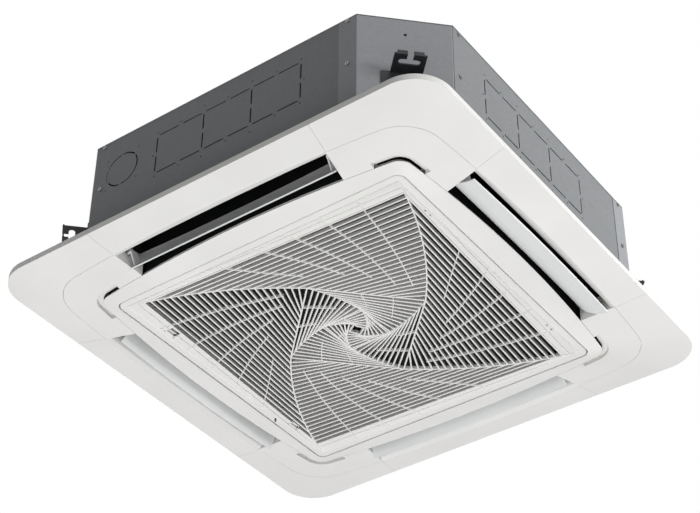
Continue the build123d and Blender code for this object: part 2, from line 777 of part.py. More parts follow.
def drain_spout():
    """Drain connection outside the left panel."""
    face = -cabinet_half + sheet
    tube = Cylinder(spout_radius, spout_length, align=(Align.CENTER, Align.CENTER, Align.MIN))
    tube += Cylinder(spout_radius + 8, 3, align=(Align.CENTER, Align.CENTER, Align.MIN))
    tube -= Cylinder(spout_bore, 3 * spout_length)
    return Pos(face, spout_y, spout_z) * Rot(0, -90, 0) * tube


def cable_grommet():
    """Rubber grommet in the left wall for the supply cable."""
    length = 7.0
    ring = Cylinder(grommet_bore + grommet_wall, length) + Pos(0, 0, length / 2) * Cylinder(grommet_bore + 8, 3)
    ring -= Cylinder(grommet_bore, 4 * length)
    return Pos(-cabinet_half + sheet - 1.5 + length / 2, grommet_y, grommet_z) * Rot(0, -90, 0) * ring


box_x = (-190.0, 190.0)
box_depth = 88.0
box_reach = 8.0           # the box reaches past the whirl's edge
box_y = (whirl_half + box_reach - box_depth, whirl_half + box_reach)
box_z = (-12.5, panel_rise + 1.5)
box_wall = 2.0


def electrical_box():
    """Tray under the bell mouth's flange, open downwards."""
    outer = block(box_x, box_y, (box_z[0] + 1.5, box_z[1]))
    inner = block((box_x[0] + box_wall, box_x[1] - box_wall), (box_y[0] + box_wall, box_y[1] - box_wall),
                  (box_z[0], box_z[1] - box_wall))
    return outer - inner


def electrical_cover():
    """Flat lid of the electrical box."""
    return block(box_x, box_y, (box_z[0], box_z[0] + 1.5))


def control_board():
    """Circuit board with its large components, on four spacers."""
    top = box_z[1] - box_wall
    board = block((-150, 90), (box_y[0] + 10, box_y[1] - 10), (top - 6, top - 4.4))
    for x in (-140, 80):
        for y in (box_y[0] + 16, box_y[1] - 16):
            board += post(x, y, (top - 4.4, top), 3)
    board += block((-130, -96), (225, 255), (top - 17, top - 6))
    board += block((-60, -20), (232, 262), (top - 15, top - 6))
    board += post(20, 240, (top - 16, top - 6), 9)
    return board + post(48, 240, (top - 16, top - 6), 9)


def terminal_block():
    """Terminal strip for the supply and signal wires."""
    top = box_z[1] - box_wall
    strip = block((108, 178), (box_y[0] + 28, box_y[0] + 54), (top - 12, top))
    for step in range(5):
        strip -= post(117 + 13 * step, box_y[0] + 41, (top - 13, top - 7), 3.5)
    return strip


def make_inside():
    """Everything between the cabinet's walls."""
    save(Compound(liner_boards()), "insulation_liner")
    save(Compound([drain_tray()] + duct_blocks()), "drain_pan")
    save(drain_plug(), "drain_plug")
    save(prism(coil_ring(), (trough_floor, liner_ceiling)), "coil_fins")
    save(Compound(tube_sheets()), "coil_tube_sheets")
    save(Compound(return_bends()), "coil_return_bends")
    save(pipe_run(gas_radius, gas_z, coil_gap_start + 2), "gas_pipe")
    save(pipe_run(liquid_radius, liquid_z, coil_gap_start + 2), "liquid_pipe")
    save(Compound([pipe_union(gas_union_radius, gas_z), pipe_union(liquid_union_radius, liquid_z)]), "pipe_unions")
    save(pipe_plate(), "pipe_plate")
    save(bell_mouth(), "bell_mouth")
    save(Compound(turbo_fan()), "turbo_fan")
    save(motor_shaft(), "motor_shaft")
    save(fan_nut(), "fan_nut")
    save(fan_motor(), "fan_motor")
    save(Compound(motor_mounts()), "motor_mounts")
    save(Compound(motor_fixings()), "motor_fixings")
    save(drain_pump(), "drain_pump")
    save(pump_bracket(), "pump_bracket")
    save(float_switch(), "float_switch")
    save(float_ring(), "float_ring")
    save(drain_hose(), "drain_hose")
    save(drain_spout(), "drain_spout")
    save(cable_grommet(), "cable_grommet")
    save(electrical_box(), "electrical_box")
    save(electrical_cover(), "electrical_cover")
    save(control_board(), "control_board")
    save(terminal_block(), "terminal_block")


# ---------------------------------------------------------------- panel
def panel_loft(inset):
    """Panel's outer form, moved inwards from the visible surface by inset."""
    half = panel_half - inset
    radius = panel_corner_radius - inset
    sections = [bowed_square(half, 0, radius, inset / 4), bowed_square(half, 0, radius, inset - rim_height)]
    sections.append(bowed_square(crease_reach, side_bow, crease_radius, inset - crease_drop))
    sections.append(bowed_square(surround_reach, side_bow, surround_radius, inset - surround_drop))
    return loft(sections, ruled=True)


def end_slope():
    """How fast an outlet's end wall spreads outwards."""
    inner = bowed_x(surround_reach, outlet_length_inner / 2)
    outer = bowed_x(crease_reach, outlet_length_outer / 2)
    return (outlet_length_outer - outlet_length_inner) / 2 / (outer - inner)


def end_half(reach):
    """Half length of an outlet at the distance reach from the unit's centre."""
    inner = bowed_x(surround_reach, outlet_length_inner / 2)
    return outlet_length_inner / 2 + end_slope() * (reach - inner)


def outlet_section(flare, z, grow):
    """Outline of an outlet where its outer side has flared by the share flare of the lip."""
    inner = surround_reach - side_bow - 4 - grow
    middle = throat_reach + 0.5 + flare * (crease_reach - throat_reach - 0.5)
    end_crease = bowed_x(crease_reach, outlet_length_outer / 2)
    end = throat_reach + flare * (end_crease - throat_reach)
    half_in = end_half(inner) + grow
    half_out = end_half(end) + grow
    sides = [Line((inner, -half_in), (end + grow, -half_out)),
             ThreePointArc((end + grow, -half_out), (middle + grow, 0), (end + grow, half_out)),
             Line((end + grow, half_out), (inner, half_in)), Line((inner, half_in), (inner, -half_in))]
    return Pos(0, 0, z) * make_face(sides)


def outlet_form(grow, top):
    """Air passage through the panel, widened by grow: a lip that turns like a quarter ellipse."""
    steps = 6
    sections = [outlet_section(1.0, -face_drop - 4, grow)]
    for step in range(steps + 1):
        depth = 1 - step / steps
        flare = 1 - math.sqrt(1 - depth ** 2)
        sections.append(outlet_section(flare, -crease_drop * depth, grow))
    sections.append(outlet_section(0.0, top, grow))
    return loft(sections, ruled=True)


def corner_region(grow):
    """Plan of the right rear corner cover, widened by grow."""
    slope = (seam_half_outer - seam_half_inner) / (panel_half - crease_reach)
    inner = crease_reach - side_bow
    far = panel_half + 10

    def seam(x):
        return seam_half_inner + slope * (x - crease_reach) - grow

    points = [(inner, seam(inner)), (far, seam(far)), (far, far), (seam(far), far), (seam(inner), inner)]
    outline = make_face(Polyline(*points, (seam(inner), seam(inner)), close=True))
    return outline - bowed_square(crease_reach - grow, side_bow, crease_radius)


def flange_outline():
    """Flat top of the panel and of the seal: octagon with openings for intake, outlets and corners."""
    face = octagon(-2 * sheet) - rounded_square(surround_opening + panel_wall, grille_radius + 4)
    for angle in turns.values():
        opening = Pos((passage_inner + throat_reach) / 2, 0) * Rectangle(
            throat_reach - passage_inner, 2 * end_half(throat_reach))
        face -= spin(opening, angle)
        window = surround_reach - corner_window_setback
        face -= spin(Pos(window, window) * RectangleRounded(corner_window, corner_window, 20), angle)
    return face


def groove_zone(reach, start):
    """Square at the right rear corner from start outwards, inside a bowed outline."""
    zone = Pos((start + reach) / 2, (start + reach) / 2) * Rectangle(reach - start, reach - start)
    return zone & bowed_square(reach, side_bow, surround_radius + reach - surround_reach)


def panel_frame():
    """Moulded frame of the panel: skin, rim, outlet walls, finger grooves, corner trays, top flange."""
    skin = panel_loft(0.0)
    hollow = panel_loft(panel_wall)
    middle = panel_loft(panel_wall / 2) + prism(rounded_square(crease_reach, crease_radius), (0, panel_rise))
    opening = bowed_square(surround_reach + seam_gap, side_bow, surround_radius)
    ring = bowed_square(surround_reach + seam_gap + panel_wall, side_bow, surround_radius + panel_wall)
    frame = skin - hollow
    walls = prism(ring, (-face_drop, flange_bottom))
    for angle in turns.values():
        walls += spin(outlet_form(panel_wall, panel_rise), angle)
        reach = surround_reach + groove_width + panel_wall
        walls += spin(prism(groove_zone(reach, groove_start - panel_wall),
                            (-face_drop, groove_depth + panel_wall - surround_drop)), angle)
    frame += walls & middle
    frame += prism(flange_outline(), (flange_bottom, panel_rise))
    for angle in turns.values():
        frame -= spin(outlet_form(0.0, panel_rise + 1), angle)
        frame -= spin(prism(groove_zone(surround_reach + groove_width, groove_start),
                            (-face_drop, groove_depth - surround_drop)), angle)
        frame -= spin(prism(corner_region(0.0), (-face_drop, 1)), angle)
        frame += spin(corner_tray(middle), angle)
        frame += spin(motor_pads(), angle)
        frame -= spin(shaft_holes(), angle)
    return frame - prism(opening, (-face_drop - 1, flange_bottom))


def corner_tray(middle):
    """Recessed shelf under a corner cover, with its access hole and bolt hole."""
    border = corner_region(panel_wall) - corner_region(0.0)
    wall = prism(border, (-face_drop, 0)) & middle
    inside = rounded_square(panel_half - panel_wall - seam_gap, panel_corner_radius - panel_wall)
    shelf = prism(corner_region(panel_wall) & inside, (-tray_sheet, 0))
    x, y = on_diagonal(panel_bolt_reach + 18, -10)
    shelf -= post(x, y, (-tray_sheet - 1, 1), access_radius)
    x, y = on_diagonal(panel_bolt_reach, panel_bolt_offset)
    shelf -= post(x, y, (-tray_sheet - 1, 1), bolt_radius + hole_gap)
    return wall + shelf


def motor_pads():
    """Two pads on an outlet's end wall that the louvre motor's ears are screwed to."""
    face = end_half(pivot_reach + 20) + panel_wall
    pads = []
    for dx in (-16.0, 16.0):
        x = pivot_reach + dx
        wall = end_half(x)
        pads.append(block((x - 3, x + 3), (wall + 0.5, face + 1), (-pivot_drop - 9, -pivot_drop - 3)))
    return Compound(pads)


def shaft_holes():
    """Holes in both end walls of an outlet for the louvre's shaft and bush."""
    span = end_half(pivot_reach)
    bore = Pos(pivot_reach, 0, -pivot_drop) * Rot(90, 0, 0) * Cylinder(2 * louvre_shaft + hole_gap, 2 * span + 14)
    return bore


def corner_cover():
    """Removable cover of the right rear corner."""
    skin = panel_loft(0.0) - panel_loft(panel_wall)
    return skin & prism(corner_region(-seam_gap), (-face_drop, 1))


def inner_surround():
    """Frame between grille and outlets: visible face, outer wall, inner wall and grille hooks."""
    outer = bowed_square(surround_reach, side_bow, surround_radius, -surround_drop)
    set_back = surround_reach - 6
    upper = [bowed_square(set_back, side_bow, surround_radius, z) for z in (flange_bottom, groove_depth - surround_drop)]
    inside = rounded_square(surround_opening, grille_radius + grille_gap)
    lower = Pos(0, 0, -face_drop) * bowed_square(surround_opening + 1, 0, grille_radius + grille_gap)
    body = loft(upper + [outer, lower], ruled=True)
    hollow_top = [bowed_square(set_back - panel_wall, side_bow, surround_radius - panel_wall, z)
                  for z in (flange_bottom + 1, groove_depth - surround_drop)]
    hollow_low = [bowed_square(surround_reach - 2 * panel_wall, side_bow, surround_radius - panel_wall,
                               panel_wall - surround_drop),
                  Pos(0, 0, panel_wall - face_drop) * bowed_square(surround_opening + 1, 0, grille_radius)]
    hollow = loft(hollow_top + hollow_low, ruled=True)
    wall = rounded_square(surround_opening + panel_wall, grille_radius + grille_gap + panel_wall)
    hollow -= prism(wall, (-face_drop - 1, flange_bottom + 2))
    body = body - hollow - prism(inside, (-face_drop - 1, flange_bottom + 1))
    for y in (-hinge_y, hinge_y):
        body += grille_hook(y)
    return body


def grille_hook(y):
    """Arm from the surround's right wall down to the ring that carries the grille's pin."""
    span = (y - hook_width / 2, y + hook_width / 2)
    arm = block((hinge_x - 2.5, surround_opening + 1), span, (-8, -4))
    arm += block((hinge_x - 2.5, hinge_x + 2.5), span, (-hinge_drop, -4))
    ring = Pos(hinge_x, y, -hinge_drop) * Rot(90, 0, 0) * Cylinder(hook_radius, hook_width)
    bore = Pos(hinge_x, y, -hinge_drop) * Rot(90, 0, 0) * Cylinder(hinge_pin + run_gap, 2 * hook_width)
    return arm + ring - bore


def louvre():
    """Curved blade with end arms and stub shafts, drawn closed on the right side."""
    chord = louvre_inner + louvre_outer
    radius = chord ** 2 / (8 * louvre_sagitta) + louvre_sagitta / 2
    centre_x = (louvre_outer - louvre_inner) / 2
    centre_z = radius - louvre_below_pivot - louvre_sagitta
    shell = Cylinder(radius, 2 * louvre_half) - Cylinder(radius - louvre_sheet, 2 * louvre_half)
    shell = Pos(centre_x, 0, centre_z) * Rot(90, 0, 0) * shell
    inner_end = louvre_half - louvre_taper
    plan = [Line((louvre_outer - louvre_bow, louvre_half), (-louvre_inner - louvre_bow, inner_end)),
            ThreePointArc((-louvre_inner - louvre_bow, inner_end), (-louvre_inner, 0),
                          (-louvre_inner - louvre_bow, -inner_end)),
            Line((-louvre_inner - louvre_bow, -inner_end), (louvre_outer - louvre_bow, -louvre_half)),
            ThreePointArc((louvre_outer - louvre_bow, -louvre_half), (louvre_outer, 0),
                          (louvre_outer - louvre_bow, louvre_half))]
    blade = shell & prism(make_face(plan), (-louvre_below_pivot - louvre_sagitta - 2, -louvre_below_pivot + 8))
    depth = louvre_below_pivot + louvre_sagitta - louvre_sheet / 2
    arm_profile = Polyline((-4.5, 0), (4.5, 0), (17, 4 - depth), (12, 1 - depth), (0, 0.8 - depth), (-8, 3 - depth), close=True)
    arm = extrude(Plane.XZ * make_face(arm_profile), 3)
    arm += Pos(0, -1.5, 0) * Rot(90, 0, 0) * Cylinder(5, 3)
    reach = end_half(pivot_reach) + 5
    for side in (-1, 1):
        y = side * (inner_end - 4)
        blade += Pos(0, y + 1.5, 0) * arm
        shaft = Cylinder(louvre_shaft, reach - inner_end + 6)
        blade += Pos(0, side * (reach + inner_end - 6) / 2, 0) * Rot(90, 0, 0) * shaft
    return blade


def placed_louvre(name):
    """Louvre of one side at its rest angle."""
    turned = Rot(0, rest_angle[name], 0) * louvre()
    return spin(Pos(pivot_reach, 0, -pivot_drop) * turned, turns[name])


def ear_face():
    """Distance from the outlet's middle to the face of the motor pads."""
    return end_half(pivot_reach + 20) + panel_wall + 1


def louvre_motor():
    """Small stepper motor at one end of an outlet, with ears and the socket for the louvre's shaft."""
    face = ear_face()
    body = Pos(pivot_reach, face + 10, -pivot_drop - 4) * Rot(90, 0, 0) * Cylinder(12, 17)
    ears = block((pivot_reach - 19, pivot_reach + 19), (face, face + 1.5), (-pivot_drop - 9, -pivot_drop - 3))
    socket = Pos(pivot_reach, face + 1, -pivot_drop) * Rot(90, 0, 0) * Cylinder(2 * louvre_shaft, 6)
    bore = Pos(pivot_reach, face - 2, -pivot_drop) * Rot(90, 0, 0) * Cylinder(louvre_shaft + run_gap, 10)
    return body + ears + socket - bore


def louvre_bush():
    """Flanged bush at the other end of an outlet."""
    wall = end_half(pivot_reach)
    flange = 2 * louvre_shaft + bush_flange
    stand = panel_wall + end_slope() * flange + bush_clearance
    length = stand + bush_flange_sheet + 1.5
    bush = Pos(pivot_reach, 1.5 - wall - length / 2, -pivot_drop) * Rot(90, 0, 0) * Cylinder(2 * louvre_shaft, length)
    bush += (Pos(pivot_reach, -wall - stand - bush_flange_sheet / 2, -pivot_drop) * Rot(90, 0, 0)
             * Cylinder(flange, bush_flange_sheet))
    bore = Pos(pivot_reach, -wall - 2, -pivot_drop) * Rot(90, 0, 0) * Cylinder(louvre_shaft + run_gap, 20)
    return bush - bore


def panel_bolts():
    """Bolts from the corner trays up into the corner plates' tabs."""
    bolt = post(*on_diagonal(panel_bolt_reach, panel_bolt_offset), (-tray_sheet, tab_z + 10), bolt_radius)
    x, y = on_diagonal(panel_bolt_reach, panel_bolt_offset)
    bolt += Pos(x, y, 0) * prism(RegularPolygon(5.5, 6), (-tray_sheet - 4, -tray_sheet))
    return [spin(bolt, 90 * turn) for turn in range(4)]


# ---------------------------------------------------------------- intake grille
def spiral(step):
    """Point on the left whirl rib; each whole step turns it an eighth of a turn inwards."""
    level = int(step)
    share = step - level
    start = Vector(-whirl_half, whirl_half)
    end = Vector(-whirl_half * math.sqrt(2) / whirl_ratio, 0)
    along = end - start
    outwards = Vector(along.Y, -along.X).normalized()
    point = start + along * share + outwards * (4 * rib_bulge * share * (1 - share))
    return point.rotate(Axis.Z, 45 * level) * (whirl_ratio ** -level)


def cross_ribs(level):
    """Cross ribs of one sector: place along the slats and the share of the level they reach."""
    if level == 0:
        return [(0.36 + 0.125 * n, 0.58 + 0.0825 * n) for n in range(5)]
    if level == 1:
        return [(0.46, 0.5), (0.74, 0.5)]
    return [(0.5, 0.5)]


def cross(first, second):
    """Positive if the second direction lies to the left of the first."""
    return first.X * second.Y - first.Y * second.X


def inset_cell(corners, margins):
    """What is left of a convex cell after each side has moved inwards by its margin."""
    cell = corners
    for index in range(len(corners)):
        along = (corners[(index + 1) % len(corners)] - corners[index]).normalized()
        inwards = Vector(-along.Y, along.X)
        depths = [(point - corners[index]).dot(inwards) - margins[index] for point in cell]
        kept = []
        for here in range(len(cell)):
            before = here - 1
            if (depths[here] > 0) != (depths[before] > 0):
                share = depths[before] / (depths[before] - depths[here])
                kept.append(cell[before] + (cell[here] - cell[before]) * share)
            if depths[here] > 0:
                kept.append(cell[here])
        cell = kept
    return [point for index, point in enumerate(cell) if (point - cell[index - 1]).length > least_opening]


def whirl_cells():
    """Openings of one sector, between neighbouring slats, the two whirl ribs and the cross ribs.
    Near the end of a level two slats cross before they reach the rib; the opening starts there."""
    cells = []
    half = blade_thickness / 2
    for level, count in enumerate(slats_per_level):
        for index in range(count):
            first, second = level + index / count, level + (index + 1) / count
            outer_a, inner_a = spiral(first), spiral(second)
            outer_b, inner_b = outer_a.rotate(Axis.Z, 90), inner_a.rotate(Axis.Z, 90)
            places = [place for place, reach in cross_ribs(level) if (index + 1) / count <= reach]
            stops = [0.0] + places + [1.0]
            for low, high in zip(stops, stops[1:]):
                corners = [outer_a + (outer_b - outer_a) * low, outer_a + (outer_b - outer_a) * high,
                           inner_a + (inner_b - inner_a) * high, inner_a + (inner_b - inner_a) * low]
                rib = rib_thickness / (2 + level)
                ends = [rib if stop in (0.0, 1.0) else half for stop in (low, high)]
                outer, inner = corners[1] - corners[0], corners[3] - corners[2]
                width = cross(outer.normalized(), corners[3] - corners[0])
                margins = [half, ends[1], half, ends[0] if width > blade_thickness else 0]
                share = cross(corners[2] - corners[0], inner) / cross(outer, inner)
                if cross(outer, corners[2] - corners[0]) <= 0:
                    continue
                if 0 < share < 1:
                    corners = [corners[0] + outer * share, corners[1], corners[2]]
                cell = inset_cell(corners, margins)
                if len(cell) > 2:
                    cells.append(cell)
    return cells


def whirl_plate():
    """Slats and ribs as one plate with an opening for every cell."""
    edge = whirl_half + 1
    outline = Wire.make_polygon([(-edge, -edge), (edge, -edge), (edge, edge), (-edge, edge)])
    holes = []
    for turn in range(4):
        for cell in whirl_cells():
            holes.append(Wire.make_polygon([corner.rotate(Axis.Z, 90 * turn) for corner in cell]))
    face = Pos(0, 0, -whirl_bottom) * Face(outline, holes)
    return Solid.extrude(face, Vector(0, 0, blade_height))


def grille_border_ring():
    """Flat border, bevel down to the slats and the upright outer wall, with hinge notches and pins."""
    border = prism(rounded_square(grille_half, grille_radius), (-face_drop, grille_border - face_drop))
    border = fillet(border.edges().group_by(Axis.Z)[0], grille_edge_round)
    bevel = [bowed_square(bevel_outer, 0, 8, -face_drop), bowed_square(whirl_half, 0, 2, -whirl_bottom + 1)]
    border -= loft(bevel, ruled=True)
    border -= prism(bowed_square(whirl_half, 0, 2), (-whirl_bottom, 1))
    wall = rounded_square(grille_half, grille_radius) - rounded_square(
        grille_half - panel_wall, grille_radius - panel_wall)
    border += prism(wall, (grille_border - face_drop - 1, grille_depth - face_drop))
    low = grille_border - face_drop
    for y in (-hinge_y, hinge_y):
        border -= block((hinge_x - 9, grille_half + 1), (y - 10, y + 10), (low, 0))
        for side in (-1, 1):
            centre = y + side * (hook_width / 2 + 3.5)
            border += block((hinge_x - 4.5, hinge_x + 4.5), (centre - 1.5, centre + 1.5), (low - 1, 3.5 - hinge_drop))
        border += Pos(hinge_x, y, -hinge_drop) * Rot(90, 0, 0) * Cylinder(hinge_pin, hook_width + 10)
    for y in (-latch_y, latch_y):
        for side in (-1, 1):
            rail = y + side * (latch_half + seam_gap + 1)
            border += block((2 - grille_half, -whirl_half - 4), (rail - 1, rail + 1), (low - 1, low + 7))
    return border


def intake_grille():
    """Border and whirl in one moulding, with openings for the latch tabs and a screw hole."""
    grille = grille_border_ring() + whirl_plate()
    for y in (-latch_y, latch_y):
        grille -= block((-whirl_half - 1, -whirl_half + 7 + latch_travel), (y - 12, y + 12), (-face_drop - 1, 0))
        grille -= block((-grille_half - 1, -grille_half + 4), (y - 12, y + 12), (grille_border - face_drop, 0))
    slot = Pos(screw_slot_setback - grille_half, latch_y - screw_slot_offset, 0) * SlotOverall(16, 4, rotation=-50)
    return grille - prism(slot, (-face_drop - 1, 0))


def grille_latch(y):
    """Sliding latch on the grille's left border with its finger tab between the slats."""
    low = grille_border - face_drop
    body = block((-grille_half - 1.4, -whirl_half - 3), (y - latch_half, y + latch_half), (low, low + 6))
    body += block((-whirl_half - 4, -whirl_half + 5), (y - 9, y + 9), (low + 2, low + 6))
    return body + block((-whirl_half + 3, -whirl_half + 5), (y - 9, y + 9), (-whirl_bottom + 1, low + 3))


def air_filter():
    """Filter frame with ribs and mesh, lying on the back of the slats."""
    half = whirl_half - 3
    low = -whirl_top
    frame = block((-half, half), (-half, half), (low, low + 5))
    pitch = 2 * half / 4
    for column in range(4):
        for row in range(4):
            x = -half + pitch * (column + 0.5)
            y = -half + pitch * (row + 0.5)
            size = pitch / 2 - 3
            frame -= block((x - size, x + size), (y - size, y + size), (low + 1, low + 6))
    return frame


def make_panel():
    """Panel, louvres and grille."""
    save(prism(flange_outline(), (panel_rise, cabinet_bottom)), "panel_seal")
    save(panel_frame(), "panel_frame")
    cover = corner_cover()
    for name, angle in corner_angles.items():
        save(spin(cover, angle - corner_angles["right_rear"]), f"corner_cover_{name}")
    save(inner_surround(), "inner_surround")
    for name in turns:
        save(placed_louvre(name), f"louvre_{name}")
    save(Compound([spin(louvre_motor(), angle) for angle in turns.values()]), "louvre_motors")
    save(Compound([spin(louvre_bush(), angle) for angle in turns.values()]), "louvre_bushes")
    save(Compound(panel_bolts()), "panel_bolts")
    save(intake_grille(), "intake_grille")
    save(grille_latch(-latch_y), "grille_latch_front")
    save(grille_latch(latch_y), "grille_latch_rear")
    save(air_filter(), "air_filter")


make_cabinet()
make_inside()
make_panel()
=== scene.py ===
"""Ceiling cassette air conditioner: whirl grille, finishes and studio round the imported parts."""

import json
import math

import bpy
import numpy as np
from mathutils import Matrix, Vector


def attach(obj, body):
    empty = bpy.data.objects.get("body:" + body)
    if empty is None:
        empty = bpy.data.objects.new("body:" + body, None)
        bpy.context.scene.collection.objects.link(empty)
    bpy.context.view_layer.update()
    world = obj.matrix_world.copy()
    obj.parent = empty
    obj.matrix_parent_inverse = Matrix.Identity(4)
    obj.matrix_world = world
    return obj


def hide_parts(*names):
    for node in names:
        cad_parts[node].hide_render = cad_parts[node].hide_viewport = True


bl_info = {
    "name": "Ceiling Cassette Air Conditioner",
    "version": (1, 0, 0),
    "blender": (4, 5, 0),
    "location": "3D View > Sidebar > Cassette",
    "description": "Whirl intake grille, finishes and studio for a four-way ceiling cassette",
    "category": "Add Mesh",
}

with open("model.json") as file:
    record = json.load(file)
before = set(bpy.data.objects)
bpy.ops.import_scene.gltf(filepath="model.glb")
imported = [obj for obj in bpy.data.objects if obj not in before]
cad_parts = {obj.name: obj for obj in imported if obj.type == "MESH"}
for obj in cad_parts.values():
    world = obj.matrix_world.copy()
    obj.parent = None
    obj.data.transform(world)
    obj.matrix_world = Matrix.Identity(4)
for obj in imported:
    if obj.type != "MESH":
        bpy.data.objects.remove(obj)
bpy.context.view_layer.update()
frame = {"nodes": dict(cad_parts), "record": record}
SLOT_OF = {row["node"]: row["material_slot"] for row in frame["record"]["subparts"]}
MM = 0.001
QUARTER = math.pi / 2
SHARP = math.radians(38)  # faces that meet at more than this angle keep a hard edge
ABS_ROUGHNESS = 0.46


def linear(hex_colour):
    """sRGB hex colour as linear red, green and blue."""
    parts = [int(hex_colour[i:i + 2], 16) / 255 for i in (1, 3, 5)]
    return tuple(c / 12.92 if c <= 0.04045 else ((c + 0.055) / 1.055) ** 2.4 for c in parts)


# ---------------------------------------------------------------- sizes and colours
def length(name, description, millimetres):
    """Length property whose default is given in millimetres."""
    return bpy.props.FloatProperty(name=name, description=description, default=millimetres * MM,
                                   subtype="DISTANCE", unit="LENGTH")


def colour(name, description, hex_colour):
    """Colour property whose default is given as sRGB hex."""
    return bpy.props.FloatVectorProperty(name=name, description=description, size=3, min=0, max=1,
                                         default=linear(hex_colour), subtype="COLOR")


class CassetteGrille(bpy.types.PropertyGroup):
    """Sizes of the intake grille."""
    border_half: length("Border half side", "Centre to the outer side of the border", 313.4)
    border_radius: length("Border corner radius", "Radius of the border's outer corners", 15)
    whirl_half: length("Whirl half side", "Centre to the crease where the border's flat ends", 300)
    inner_half: length("Inner half side", "Half side of the whirl's second, turned square", 108.4)
    ratio: bpy.props.FloatProperty(name="Whirl ratio", default=2.58, min=1.5, max=5,
                                   description="How much each later square is smaller")
    band_half: length("Band half side", "Half side of the turned square with open slats", 278.7)
    band_slant: bpy.props.FloatProperty(name="Band slant", description="Turn of that square",
                                        default=math.atan(0.0387), subtype="ANGLE",
                                        unit="ROTATION")
    band_depth: length("Band depth", "How deep the band outside that square is sunk", 2)
    bead_drop: length("Bead drop", "How far the bead at the crease stands below the flat", 1)
    face_drop: length("Face drop", "Ceiling plane down to the flat of the border", 38)
    lip_drop: length("Lip drop", "Ceiling plane down to the lips of the slats", 38)
    slat_height: length("Slat height", "Lip to the back edge of a slat", 7.7)
    slat_lean: length("Slat lean", "How far a slat leans outwards over its height", 0.3)
    lip_width: length("Lip width", "Width of a slat's rounded lip", 3.2)
    slat_back: length("Slat back", "Thickness of a slat's back edge", 1.4)
    rib_width: length("Rib width", "Width of the whirl ribs at the border", 2.8)
    rib_bulge: length("Rib bulge", "How far a whirl rib bows out over its first level", 18)


class CassetteColours(bpy.types.PropertyGroup):
    """Colours of the finishes."""
    panel: colour("Panel", "Moulded panel, covers, surround and grille", "#E5E4E2")
    louvre: colour("Louvre", "Moulded louvres", "#DFE0E0")
    cabinet: colour("Cabinet", "Galvanised cabinet sheet", "#858789")
    # painted light: the corner plates are paler than the cabinet sheet to stand for the light on
    # the chamfered corners
    corner: colour("Corner plates", "Galvanised plates across the corners", "#9A9C9F")
    # painted shade: the brackets are coloured near black for the shade under their down-facing
    # plates
    bracket_shade: colour("Bracket", "Blackened hanger brackets", "#2E3032")
    fastener: colour("Fastener", "Zinc plated screws, bolts and shaft", "#8E8F8D")
    # This colour is also the painted shade on the surround's outlet walls.
    foam: colour("Foam", "Foam liner, drain pan and tape, and the rubber parts", "#131415")
    black_plastic: colour("Black plastic", "Fan, bell mouth and motor shell", "#17181A")
    mesh: colour("Filter mesh", "Woven mesh of the filter", "#0A0B0C")
    grey_plastic: colour("Grey plastic", "Pump, float, boxes, spout and louvre motors", "#9A9C9B")
    copper: colour("Copper", "Pipes, bends and unions", "#B9744C")
    aluminium: colour("Aluminium", "Heat exchanger fins", "#B4B7BA")
    board: colour("Board", "Solder mask of the control board", "#1F5A37")


# ---------------------------------------------------------------- meshes from whole arrays
def turned(points, angle):
    """Plan points turned about the unit's vertical axis: x cos - y sin, x sin + y cos."""
    c, s = np.cos(angle), np.sin(angle)
    return np.stack([points[..., 0] * c - points[..., 1] * s,
                     points[..., 0] * s + points[..., 1] * c], axis=-1)


def four_ways(paths):
    """The same paths or plan points turned to all four sides, one side after another."""
    return np.concatenate([turned(paths, quarter * QUARTER) for quarter in range(4)])


def linked(name, data):
    """New object for some data, in the scene's collection."""
    piece = bpy.data.objects.new(name, data)
    bpy.context.scene.collection.objects.link(piece)
    return piece


def meshed(name, corners, faces):
    """New mesh from an array of corners and a list of faces."""
    mesh = bpy.data.meshes.new(name)
    mesh.from_pydata(corners.tolist(), [], faces)
    mesh.update()
    return mesh


def grille_piece(name, corners, faces):
    """Moulded piece that rides with the grille in place of the CAD grille. Its faces are turned
    round where the signed volume, the sum of the corner triples' products, is negative."""
    mesh = meshed(name, corners, faces)
    mesh.calc_loop_triangles()
    triangles = np.empty(len(mesh.loop_triangles) * 3, dtype=np.int64)
    mesh.loop_triangles.foreach_get("vertices", triangles)
    a, b, c = corners[triangles.reshape(-1, 3)].transpose(1, 0, 2)
    if np.einsum("ij,ij->i", a, np.cross(b, c)).sum() < 0:
        mesh.flip_normals()
    mesh.materials.append(finishes()["panel_white"])
    mesh.shade_smooth()
    mesh.set_sharp_from_angle(angle=SHARP)
    piece = linked(name, mesh)
    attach(piece, "grille")
    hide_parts("intake_grille")
    return piece


def tubes(grid, capped=True):
    """Corners and faces of a batch of closed-profile tubes.
    The grid's axes are tube, station, profile point and coordinate. Each face joins two
    neighbouring profile points at two neighbouring stations; the profile wraps round, and the
    ends get one face each. Uncapped tubes close on themselves, last station to first."""
    count, stations, around = grid.shape[:3]
    spans = stations - 1 if capped else stations
    tube, station, point = np.meshgrid(np.arange(count), np.arange(spans), np.arange(around),
                                       indexing="ij")
    following, beside = (station + 1) % stations, (point + 1) % around

    def corner(at, across):
        """Index of a corner in the grid, counted tube by tube and station by station."""
        return (tube * stations + at) * around + across

    quads = np.stack([corner(station, point), corner(station, beside),
                      corner(following, beside), corner(following, point)], axis=-1)
    faces = quads.reshape(-1, 4).tolist()
    if capped:
        first = np.arange(count)[:, None] * stations * around
        ring = np.arange(around)[None, :]
        faces += (first + ring[:, ::-1]).tolist()
        faces += (first + (stations - 1) * around + ring).tolist()
    return grid.reshape(-1, 3), faces


